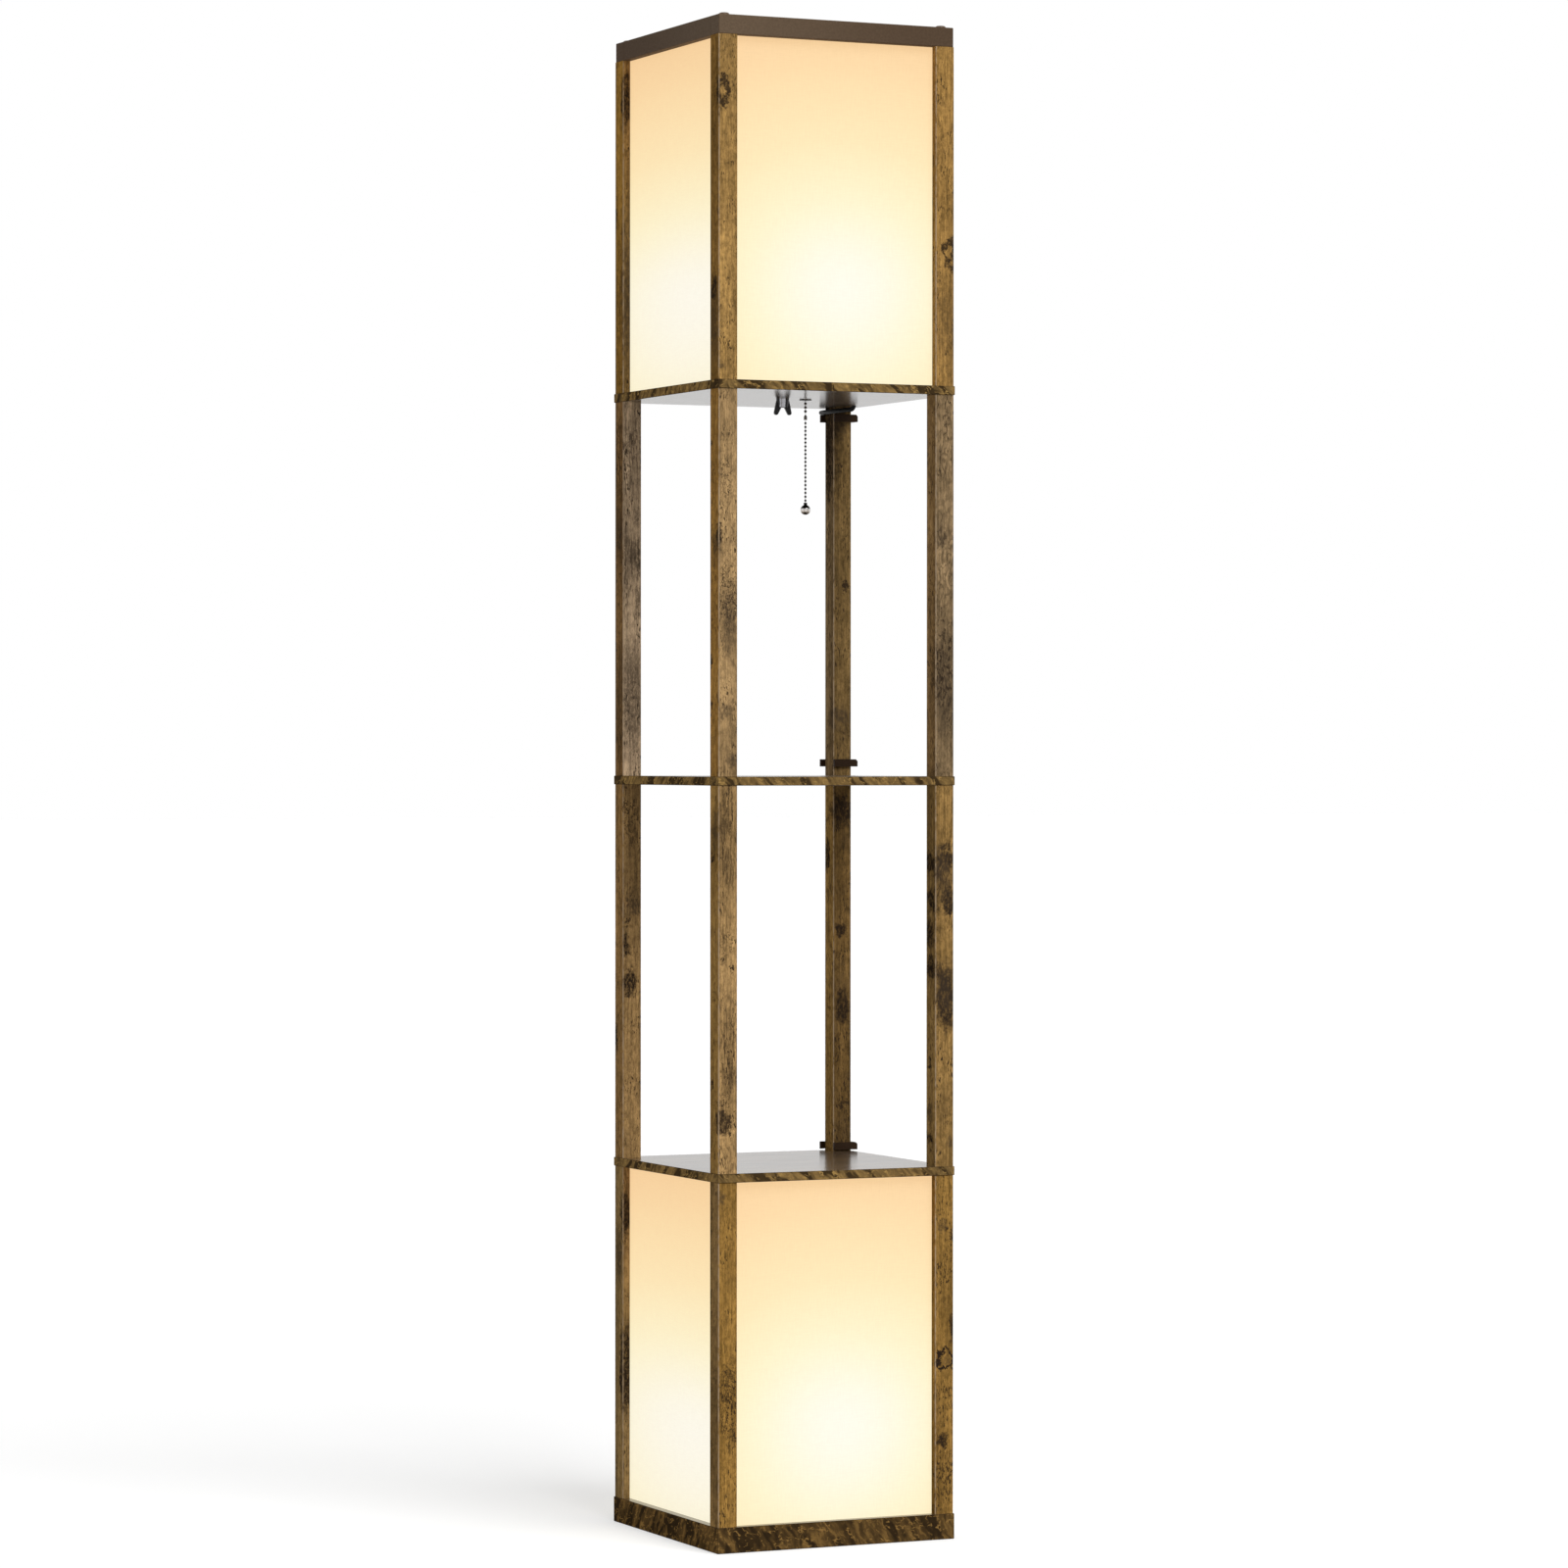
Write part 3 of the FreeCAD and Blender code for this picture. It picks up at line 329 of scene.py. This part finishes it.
def make_post_wood(name, corner, front, side, clouds, marks, shift):
    material = bpy.data.materials.new(name)
    graph = Graph(material)
    local = graph.place()
    post = PostGrain(graph, local, shift)
    light, dark = face_tones(graph, front, side)
    broad = graph.noise(post.bent, 38, 3, 0.55, (1, 1, 0.16))
    grain = graph.noise(post.bent, 560, 3, 0.7, (1, 1, 0.03))
    hair = graph.noise(post.bent, 1700, 2, 0.6, (1, 1, 0.03))
    mottle = graph.noise(post.bent, 240, 4, 0.75, (1, 1, 0.5))
    cloud = graph.noise(post.bent, 60, 5, 0.65, (1, 1, 0.45))
    colour = graph.mix(graph.span(broad, 0.36, 0.62), light, dark)
    colour = graph.mix(graph.span(cloud, 0.50, 0.68, 0.0, clouds), colour, SMOKE)
    tone = graph.math("ADD", graph.span(grain, 0.3, 0.7, 0.66, 1.22), graph.span(hair, 0.3, 0.7, -0.12, 0.12))
    tone = graph.math("MULTIPLY", tone, graph.span(mottle, 0.32, 0.62, 0.66, 1.16))
    colour = graph.dim(colour, tone)
    pores = graph.noise(post.place, 700, 2, 0.6, (1, 1, 0.26))
    where = graph.noise(post.place, 60, 3, 0.55, (1, 1, 0.5))
    specks = graph.math("MULTIPLY", graph.span(pores, 0.57, 0.62), graph.span(where, 0.46, 0.58, 0.05, 0.9))
    colour = graph.mix(specks, colour, KNOT)
    for mark in marks:
        colour = post.add_mark(colour, *mark)
    # A pale line on two long edges: the foil's seam with a painted highlight, broken up in patches.
    patchy_seam_highlight = graph.span(graph.noise(post.place, 260, 3, 0.7, (1, 1, 0.4)), 0.34, 0.58, 0.15, 0.85)
    colour = graph.mix(graph.math("MULTIPLY", foil_seam_highlight(graph, local, corner), patchy_seam_highlight), colour, PALE_EDGE_HIGHLIGHT)
    height = graph.math("SUBTRACT", grain, graph.math("MULTIPLY", specks, 0.6))
    graph.surface(
        Base_Color=colour,
        Roughness=graph.span(grain, 0.3, 0.7, 0.66, 0.54),
        Specular_IOR_Level=0.0,
        Normal=graph.bump(height, 0.3, 0.0004),
    )
    return material


CORNERS = {"front_left": (-1, -1), "front_right": (1, -1), "rear_left": (-1, 1), "rear_right": (1, 1)}


def mark_centre(corner, face, across, up):
    """On the front face `across` runs from the post's left side, on the left face from its front side."""
    x_side, y_side = corner
    x0 = -POST_FACE if x_side < 0 else POST_INNER
    y0 = -POST_FACE if y_side < 0 else POST_INNER
    return (x0 + across, y0, up) if face == "front" else (x0, y0 + across, up)


# Each post's front tone, side tone and clouds, then its marks: kind, face, place across, height above
# the floor, radius and length, in metres.
# The front and side tones are partly the foil's own and partly painted light and shade, set for how each face
# of each post is lit.
POST_LOOKS = {
    "upper_lit_post_front_left": (linear(162, 127, 74), linear(136, 102, 52), 0.20, [
        ("ring", "front", 0.0045, 1.521, 0.0064, 0.027), ("smoke", "front", 0.000, 1.497, 0.003, 0.008),
        ("knot", "front", 0.0128, 1.260, 0.0026, 0.010), ("smoke", "front", 0.003, 1.234, 0.006, 0.014),
        ("soot", "left", 0.012, 1.316, 0.009, 0.028), ("smoke", "left", 0.012, 1.275, 0.013, 0.090)]),
    "upper_bay_post_front_left": (linear(157, 128, 88), linear(157, 117, 60), 0.25, [
        ("soot", "front", 0.000, 1.060, 0.0062, 0.034), ("smoke", "left", 0.008, 1.045, 0.010, 0.040),
        ("knot", "left", 0.019, 1.154, 0.0034, 0.008), ("knot", "left", 0.020, 1.135, 0.0028, 0.010),
        ("crackle", "front", 0.012, 1.000, 0.014, 0.080), ("smoke", "front", 0.012, 0.970, 0.012, 0.090),
        ("soot", "left", 0.019, 0.930, 0.004, 0.016), ("smoke", "front", 0.008, 0.876, 0.008, 0.018),
        ("knot", "left", 0.019, 0.880, 0.003, 0.012), ("smoke", "front", 0.015, 0.822, 0.006, 0.016),
        ("crackle", "front", 0.008, 1.120, 0.010, 0.050)]),
    "lower_bay_post_front_left": (linear(156, 125, 82), linear(156, 121, 67), 0.20, [
        ("knot", "front", 0.0055, 0.449, 0.0098, 0.030), ("knot", "left", 0.015, 0.486, 0.0045, 0.010),
        ("knot", "front", 0.006, 0.616, 0.0034, 0.007), ("knot", "front", 0.015, 0.609, 0.0024, 0.010),
        ("crackle", "front", 0.010, 0.636, 0.010, 0.026), ("smoke", "left", 0.010, 0.750, 0.012, 0.050),
        ("veins", "front", 0.012, 0.740, 0.016, 0.120), ("veins", "front", 0.014, 0.530, 0.014, 0.120),
        ("soot", "left", 0.015, 0.722, 0.004, 0.014),
        ("swirl", "front", 0.012, 0.412, 0.012, 0.036), ("crackle", "front", 0.006, 0.470, 0.010, 0.024)]),
    "lower_lit_post_front_left": (linear(141, 107, 54), linear(139, 110, 68), 0.20, [
        ("smoke", "front", 0.003, 0.371, 0.006, 0.020), ("crackle", "front", 0.012, 0.160, 0.014, 0.100),
        ("dashes", "front", 0.014, 0.150, 0.012, 0.100), ("knot", "front", 0.0187, 0.120, 0.0024, 0.009),
        ("smoke", "left", 0.020, 0.320, 0.003, 0.150)]),
    "upper_lit_post_front_right": (linear(152, 117, 65), linear(152, 117, 65), 0.15, [
        ("ring", "front", 0.0154, 1.362, 0.0064, 0.029), ("haze", "front", 0.012, 1.285, 0.016, 0.130)]),
    "upper_bay_post_front_right": (linear(138, 115, 84), linear(159, 126, 82), 0.40, [
        ("swirl", "front", 0.011, 1.155, 0.016, 0.100), ("swirl", "front", 0.011, 1.040, 0.016, 0.130),
        ("smoke", "front", 0.006, 1.058, 0.010, 0.030), ("smoke", "front", 0.010, 0.910, 0.020, 0.140),
        ("dashes", "front", 0.010, 0.930, 0.016, 0.120)]),
    "lower_bay_post_front_right": (linear(138, 108, 63), linear(150, 119, 71), 0.20, [
        ("soot", "front", 0.014, 0.722, 0.010, 0.026), ("smoke", "front", 0.004, 0.715, 0.010, 0.036),
        ("soot", "front", 0.015, 0.677, 0.009, 0.030), ("smoke", "front", 0.012, 0.700, 0.012, 0.070),
        ("soot", "left", 0.012, 0.716, 0.012, 0.024), ("soot", "left", 0.010, 0.676, 0.011, 0.024),
        ("soot", "left", 0.012, 0.642, 0.012, 0.030), ("soot", "left", 0.010, 0.604, 0.013, 0.026),
        ("soot", "front", 0.012, 0.572, 0.012, 0.076), ("smoke", "front", 0.012, 0.580, 0.013, 0.070),
        ("soot", "left", 0.014, 0.503, 0.006, 0.012), ("smoke", "left", 0.014, 0.452, 0.010, 0.024),
        ("soot", "left", 0.016, 0.422, 0.010, 0.016), ("smoke", "front", 0.018, 0.422, 0.006, 0.016),
        ("swirl", "front", 0.010, 0.700, 0.014, 0.070)]),
    "lower_lit_post_front_right": (linear(138, 105, 54), linear(138, 105, 54), 0.15, [
        ("smoke", "front", 0.008, 0.331, 0.008, 0.016), ("soot", "front", 0.019, 0.321, 0.003, 0.012),
        ("dashes", "front", 0.006, 0.280, 0.008, 0.040), ("soot", "front", 0.020, 0.226, 0.004, 0.036),
        ("eye", "front", 0.0130, 0.191, 0.0112, 0.025),
        ("dashes", "front", 0.010, 0.146, 0.014, 0.050), ("soot", "front", 0.008, 0.106, 0.007, 0.015),
        ("dashes", "front", 0.012, 0.070, 0.014, 0.070)]),
    "upper_lit_post_rear_left": (linear(136, 108, 66), linear(150, 112, 52), 0.20, [
        ("soot", "front", 0.003, 1.535, 0.008, 0.066), ("soot", "left", 0.019, 1.410, 0.003, 0.024),
        ("smoke", "front", 0.004, 1.330, 0.010, 0.200)]),
    "upper_bay_post_rear_left": (linear(182, 156, 125), linear(128, 97, 60), 0.20, [
        ("veins", "front", 0.012, 1.150, 0.018, 0.150), ("veins", "front", 0.012, 1.020, 0.018, 0.120),
        ("dashes", "left", 0.010, 1.150, 0.016, 0.100),
        ("smoke", "front", 0.010, 0.890, 0.022, 0.160), ("smoke", "front", 0.014, 1.045, 0.012, 0.050),
        ("smoke", "left", 0.010, 1.070, 0.014, 0.060)]),
    "lower_bay_post_rear_left": (linear(160, 127, 82), linear(157, 121, 74), 0.20, [
        ("crackle", "front", 0.008, 0.768, 0.011, 0.044), ("swirl", "front", 0.012, 0.745, 0.010, 0.030),
        ("knot", "front", 0.005, 0.651, 0.0030, 0.010), ("soot", "front", 0.0035, 0.623, 0.0052, 0.024),
        ("soot", "front", 0.008, 0.584, 0.0080, 0.032), ("smoke", "front", 0.013, 0.668, 0.010, 0.030),
        ("soot", "left", 0.018, 0.524, 0.005, 0.026)]),
    "lower_lit_post_rear_left": (linear(138, 112, 74), linear(142, 115, 72), 0.25, [
        ("soot", "front", 0.003, 0.334, 0.008, 0.050), ("soot", "front", 0.003, 0.168, 0.010, 0.110),
        ("smoke", "left", 0.010, 0.290, 0.010, 0.080), ("soot", "left", 0.004, 0.152, 0.004, 0.020)]),
    # Its smoke and soot marks at the top, just below the upper shelf, are painted shade under the shelf; the
    # long soot mark on its left face below them darkens that face further down.
    "upper_bay_post_rear_right": (linear(123, 98, 60), linear(136, 112, 78), 0.30, [
        ("smoke", "front", 0.008, 1.196, 0.016, 0.030), ("soot", "left", 0.012, 1.190, 0.016, 0.050),
        ("knot", "front", 0.0145, 1.017, 0.0044, 0.013), ("soot", "left", 0.010, 1.150, 0.012, 0.090),
        ("smoke", "front", 0.010, 0.871, 0.013, 0.024), ("smoke", "left", 0.006, 0.871, 0.010, 0.030)]),
    "lower_bay_post_rear_right": (linear(113, 87, 50), linear(160, 125, 70), 0.35, [
        ("soot", "front", 0.010, 0.770, 0.014, 0.040), ("soot", "left", 0.015, 0.720, 0.007, 0.036),
        ("swirl", "left", 0.010, 0.680, 0.010, 0.024), ("soot", "front", 0.010, 0.639, 0.007, 0.018),
        ("soot", "front", 0.011, 0.554, 0.009, 0.040), ("soot", "front", 0.011, 0.446, 0.007, 0.010)]),
    "upper_lit_post_rear_right": (linear(118, 94, 58), linear(140, 110, 66), 0.30, []),
    "lower_lit_post_rear_right": (linear(118, 94, 58), linear(140, 110, 66), 0.30, []),
}


def dress_posts():
    for index, (name, (front, side, clouds, marks)) in enumerate(sorted(POST_LOOKS.items())):
        corner = next(sides for ending, sides in CORNERS.items() if name.endswith(ending))
        placed = [(kind, mark_centre(corner, *spot), radius, height) for kind, *spot, radius, height in marks]
        paint(name, make_post_wood(name + "_wood", corner, front, side, clouds, placed, GRAIN_SHIFT * index))


def make_board_edge(name, light, dark, vein, slant, front_lit_share, side_lit_share):
    """Foil on a board's edges: dark slanting blotches and thin broken golden veins."""
    material = bpy.data.materials.new(name)
    graph = Graph(material)
    local = graph.place()
    x, y, z = graph.axes(local)
    along = graph.math("ADD", graph.math("ADD", x, y), graph.math("MULTIPLY", z, slant))
    skewed = graph.add("ShaderNodeCombineXYZ", [along, graph.math("SUBTRACT", x, y), z])
    wander = graph.vector("SUBTRACT", graph.wander(local, 70.0, 3.0), (0.5, 0.5, 0.5))
    bent = graph.vector("ADD", skewed, graph.vector("MULTIPLY", wander, (0.014, 0.014, 0.008)))
    blotch = graph.noise(bent, 62, 2, 0.5, (1, 0.2, 0.4))
    tint = graph.noise(bent, 150, 3, 0.6, (1, 0.3, 0.35))
    fine = graph.noise(local, 900, 2)
    colour = graph.mix(graph.span(tint, 0.46, 0.66, 0.0, 0.45), light, vein)
    colour = graph.mix(graph.span(tint, 0.48, 0.34, 0.0, 0.5), colour, dark)
    colour = graph.mix(graph.span(blotch, 0.49, 0.58, 0.0, 0.9), colour, dark)
    figure = graph.noise(bent, 95, 2, 0.5, (1, 0.3, 1.4))
    line = graph.span(graph.off_middle(figure), 0.034, 0.008)
    broken = graph.span(graph.noise(local, 130, 2), 0.46, 0.58)
    colour = graph.mix(graph.math("MULTIPLY", line, graph.math("MULTIPLY", broken, 0.85)), colour, vein)
    colour = graph.mix(graph.span(fine, 0.35, 0.65, 0.0, 0.18), colour, KNOT)
    # Painted light: the faces that look left or right get their own brightness, apart from the front faces.
    tone = graph.span(sideways(graph), 0.0, 1.0, front_lit_share, side_lit_share)
    colour = graph.dim(colour, tone)
    colour = graph.mix(graph.math("MULTIPLY", edge_mask(graph), 0.6), colour, KNOT)
    graph.surface(
        Base_Color=colour,
        Roughness=graph.span(tint, 0.3, 0.7, 0.66, 0.5),
        Specular_IOR_Level=0.0,
        Normal=graph.bump(tint, 0.25, 0.0005),
    )
    return material


def make_board_face(name, light, dark):
    """Lacquered upper and lower face of a board: long streaks under a smooth coat."""
    material = bpy.data.materials.new(name)
    graph = Graph(material)
    local = graph.place()
    wander = graph.vector("MULTIPLY", graph.wander(local, 30.0, 3.0), (0.012, 0.012, 0.0))
    bent = graph.vector("ADD", local, wander)
    planks = graph.noise(bent, 55, 4, 0.6, (0.12, 1, 1))
    streaks = graph.noise(bent, 520, 3, 0.6, (0.03, 1, 1))
    colour = graph.mix(graph.span(planks, 0.35, 0.65), light, dark)
    colour = graph.mix(graph.span(streaks, 0.35, 0.7, 0.0, 0.55), colour, KNOT)
    graph.surface(
        Base_Color=colour,
        Roughness=graph.span(streaks, 0.3, 0.7, 0.185, 0.215),
        Specular_IOR_Level=1.0,
        Normal=graph.bump(streaks, 0.02, 0.0002),
    )
    return material


# ---------------------------------------------------------------- other materials
def make_plain(name, colour, variation, roughness, metallic=0.0, specular=0.5, grit=300.0, relief=0.08):
    """A moulded or machined surface: small changes of tone, roughness and relief."""
    material = bpy.data.materials.new(name)
    graph = Graph(material)
    place = graph.place()
    fine = graph.noise(place, grit, 3, 0.6)
    slow = graph.noise(place, 22, 2)
    other = tuple(c * (1 - variation) for c in colour[:3]) + (1.0,)
    both = graph.math("ADD", graph.math("MULTIPLY", fine, 0.5), graph.math("MULTIPLY", slow, 0.5))
    share = graph.span(both, 0.35, 0.65)
    graph.surface(
        Base_Color=graph.mix(share, colour, other),
        Roughness=graph.span(fine, 0.3, 0.7, roughness * 0.85, min(roughness * 1.2, 1.0)),
        Metallic=metallic,
        Specular_IOR_Level=specular,
        Normal=graph.bump(fine, relief, 0.0002),
    )
    return material


SHADE_GLOW = (
    (0.00, linear(255, 251, 238)),
    (0.11, linear(255, 250, 233)),
    (0.22, linear(255, 247, 219)),
    (0.33, linear(255, 243, 204)),
    (0.44, linear(255, 237, 193)),
    (0.55, linear(255, 231, 182)),
    (0.77, linear(253, 219, 166)),
    (0.92, linear(249, 209, 156)),
)
GLOW_REACH = 0.28           # distance over which the colours above run
GLOW_STRENGTH = 0.93
# Where a panel glows most: place across it, height above the board, and how fast it fades across and below.
FRONT_GLOW = (0.012, 0.100, 0.80, 0.80)
SIDE_GLOW = (-0.060, 0.092, 0.30, 0.60)


def make_shade(name, board, across_axis, middle, height, width, below):
    """Lit laminated fabric, its light painted as emission: brightest beside the bulb, warmer towards the top,
    with a fine weave.
    """
    material = bpy.data.materials.new(name)
    graph = Graph(material)
    local = graph.place()
    x, y, z = graph.axes(local)
    across = graph.math("MULTIPLY", graph.math("SUBTRACT", x if across_axis == 0 else y, middle), width)
    up = graph.math("SUBTRACT", z, board + height)
    up = graph.math("MAXIMUM", up, graph.math("MULTIPLY", up, -below))
    apart = graph.vector("LENGTH", graph.add("ShaderNodeCombineXYZ", [across, up, 0.0]), output="Value")
    glow = graph.ramp(graph.math("DIVIDE", apart, GLOW_REACH), SHADE_GLOW, "B_SPLINE")
    warp = graph.noise(local, 1400, 1, 0.5, (1, 1, 0.06))
    weft = graph.noise(local, 1400, 1, 0.5, (0.06, 0.06, 1))
    weave = graph.math("ADD", warp, weft)
    shade = graph.span(weave, 0.7, 1.3, 0.955, 1.0)
    graph.surface(
        Base_Color=linear(98, 92, 80),
        Roughness=0.85,
        Specular_IOR_Level=0.1,
        Emission_Color=glow,
        Emission_Strength=graph.math("MULTIPLY", shade, GLOW_STRENGTH),
        Normal=graph.bump(weave, 0.25, 0.0003),
    )
    return material


BALL_FOOT, BALL_TOP = (corner[2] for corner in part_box("chain_ball"))
# Painted reflection: bands of colour fixed on the chrome ball, from its foot to its top.
BALL_REFLECTION_BANDS = (
    (0.00, linear(36, 31, 26)),
    (0.18, linear(100, 88, 76)),
    (0.32, linear(206, 198, 190)),
    (0.46, linear(204, 202, 200)),
    (0.56, linear(52, 52, 48)),
    (1.00, linear(14, 14, 12)),
)


def make_frame_paint():
    """Satin brown paint of the top frame, with a painted sheen that makes it a little paler towards the front
    left corner.
    """
    material = bpy.data.materials.new("frame_brown")
    graph = Graph(material)
    local = graph.place()
    x, y, _ = graph.axes(local)
    streak = graph.noise(local, 60, 3, 0.6, (1, 1, 3))
    fine = graph.noise(local, 420, 3, 0.6)
    # Painted sheen: paler towards the front left corner, with streaks.
    away = graph.math("ADD", graph.math("ADD", x, y), graph.math("MULTIPLY", streak, 0.08))
    colour = graph.mix(graph.span(away, -0.24, 0.02), linear(104, 87, 70), linear(88, 71, 56))
    colour = graph.mix(graph.span(fine, 0.35, 0.65, 0.0, 0.16), colour, KNOT)
    graph.surface(
        Base_Color=colour,
        Roughness=graph.span(fine, 0.3, 0.7, 0.38, 0.5),
        Specular_IOR_Level=0.01,
        Normal=graph.bump(fine, 0.05, 0.0002),
    )
    return material


def make_ball_chrome():
    """Chrome of the pull ball with its reflections painted as bands: darker towards its top and its foot."""
    material = bpy.data.materials.new("ball_chrome")
    graph = Graph(material)
    local = graph.place()
    up = graph.math("SUBTRACT", graph.axes(local)[2], BALL_FOOT)
    bands = graph.ramp(graph.math("DIVIDE", up, BALL_TOP - BALL_FOOT), BALL_REFLECTION_BANDS)
    graph.surface(
        Base_Color=bands,
        Roughness=graph.span(graph.noise(local, 400, 2), 0.3, 0.7, 0.06, 0.12),
        Metallic=1.0,
    )
    return material


def make_bulb_glow():
    """Opal bulb that shines, with hardly any change of tone."""
    material = bpy.data.materials.new("bulb_opal_glow")
    graph = Graph(material)
    fine = graph.noise(graph.place(), 60, 2)
    graph.surface(
        Base_Color=linear(240, 236, 226),
        Roughness=0.35,
        Emission_Color=graph.mix(graph.span(fine, 0.3, 0.7), linear(255, 247, 222), linear(255, 251, 236)),
        Emission_Strength=1.6,
    )
    return material


def paint(name, material):
    mesh = NODES[name].data
    mesh.materials.clear()
    mesh.materials.append(material)


def paint_some(name, material, other, wanted):
    """Gives the polygons that wanted() picks the other material."""
    paint(name, material)
    mesh = NODES[name].data
    mesh.materials.append(other)
    for polygon in mesh.polygons:
        polygon.material_index = 1 if wanted(polygon) else 0


def is_level(polygon):
    return abs(polygon.normal.z) > 0.9


def is_steel_highlight_strip(polygon):
    """True for the wing nut's outward faces in its two strips of bright steel, a painted highlight."""
    x, y, z = polygon.center
    outward = Vector((x, y))
    turned = polygon.normal.xy.dot(outward) > 0.9 * outward.length
    inside = abs(HIGHLIGHT_STRIP_ACROSS[0] * x + HIGHLIGHT_STRIP_ACROSS[1] * y) < HIGHLIGHT_STRIP_HALF_WIDTH
    near = outward.length < HIGHLIGHT_STRIP_RADIUS and z > UPPER_SHELF_FOOT - HIGHLIGHT_STRIP_DROP
    return turned and inside and near


def soften(name, width):
    """Rounds a CAD node's sharp edges a little, for the look only."""
    bevel = NODES[name].modifiers.new("soft_edges", "BEVEL")
    bevel.width = width
    bevel.segments = 2
    bevel.limit_method = "ANGLE"
    bevel.angle_limit = math.radians(40)


def dress_boards():
    plinth = make_board_edge(
        "plinth_veins", linear(88, 67, 38), linear(46, 35, 22), linear(158, 122, 68), 0.5, 0.86, 1.16)
    edges = make_board_edge(
        "shelf_veins", linear(124, 99, 60), linear(56, 43, 27), linear(182, 146, 86), 0.9, 0.86, 1.04)
    faces = make_board_face("board_lacquer", linear(96, 76, 52), linear(66, 52, 36))
    paint_some("base_board", plinth, faces, is_level)
    for name in ("lower_shelf", "middle_shelf", "upper_shelf"):
        paint_some(name, edges, faces, is_level)
    paint("base_cover", make_plain("hardboard_brown", linear(104, 80, 56), 0.35, 0.7, grit=900.0))


def dress_top_frame():
    frame_wood = make_frame_paint()
    for side in ("front", "rear", "left", "right"):
        paint("top_rail_" + side, frame_wood)
    paint("top_screw_caps", make_plain("cap_brown", linear(96, 78, 62), 0.1, 0.4, specular=0.2))


def dress_shades():
    for level in ("lower", "upper"):
        for sides, axis, glow in ((("front", "rear"), 0, FRONT_GLOW), (("left", "right"), 1, SIDE_GLOW)):
            shade = make_shade(f"{level}_shade_{'xy'[axis]}", LIT_FLOOR[level], axis, *glow)
            for side in sides:
                paint(f"{level}_shade_{side}", shade)


def dress_chain():
    nickel = make_plain("dark_nickel", linear(88, 83, 78), 0.25, 0.14, metallic=1.0)
    for name in ("chain_head", "chain_connector", "switch_neck_nut"):
        paint(name, nickel)
    paint("chain_tail", make_plain("bead_nickel", linear(52, 49, 46), 0.14, 0.2, metallic=1.0))
    paint("chain_ball", make_ball_chrome())


def dress_fittings():
    """Lampholders, bulbs, switch, gland, terminal block and fasteners."""
    # Bright steel for the wing nut's strips, which stand for its painted highlight.
    steel = make_plain(
        "steel_highlight_strips", linear(196, 196, 200), 0.45, 0.18, metallic=1.0, grit=1800.0, relief=0.3)
    zinc = make_plain("zinc_plate", linear(190, 190, 184), 0.25, 0.35, metallic=1.0)
    black = make_plain("black_moulding", linear(20, 19, 19), 0.3, 0.24, specular=0.25)
    porcelain = make_plain("white_porcelain_glaze", linear(232, 230, 222), 0.05, 0.2)
    for name in ("post_studs", "frame_screws", "lower_nipple", "upper_nipple", "lower_lock_nut"):
        paint(name, zinc)
    for name in ("lower_holder_cup", "upper_holder_cup", "switch_housing", "switch_cover", "cord_gland"):
        paint(name, black)
    paint_some("upper_wing_nut", black, steel, is_steel_highlight_strip)
    soften("upper_wing_nut", 0.0005)
    for level in ("lower", "upper"):
        paint(level + "_socket", porcelain)
        paint(level + "_bulb_base", make_plain(level + "_bulb_shell", linear(226, 224, 216), 0.06, 0.4))
        paint(level + "_bulb_globe", make_bulb_glow())
    paint("switch_lever", make_plain("lever_white", linear(214, 208, 190), 0.1, 0.4))
    paint("terminal_block", make_plain("terminal_white", linear(225, 222, 210), 0.1, 0.4))


def dress_lead():
    clips = make_plain("clip_brown", linear(48, 33, 20), 0.30, 0.46, specular=0.06, grit=500.0)
    paint("cord_clips", clips)
    soften("cord_clips", 0.0005)
    paint("held_lead", make_plain("lead_vinyl", linear(12, 12, 12), 0.3, 0.26, specular=0.10, grit=900.0))


make_camera()
make_world()
make_floor()
make_sun("key", (0.16, -0.66, 0.73), 2.60, 40)
make_sun("fill", (-0.60, 0.55, 0.45), 0.22, 60)
dress_posts()
dress_boards()
dress_top_frame()
dress_shades()
dress_chain()
dress_fittings()
dress_lead()

SCENE.view_settings.view_transform = "Standard"
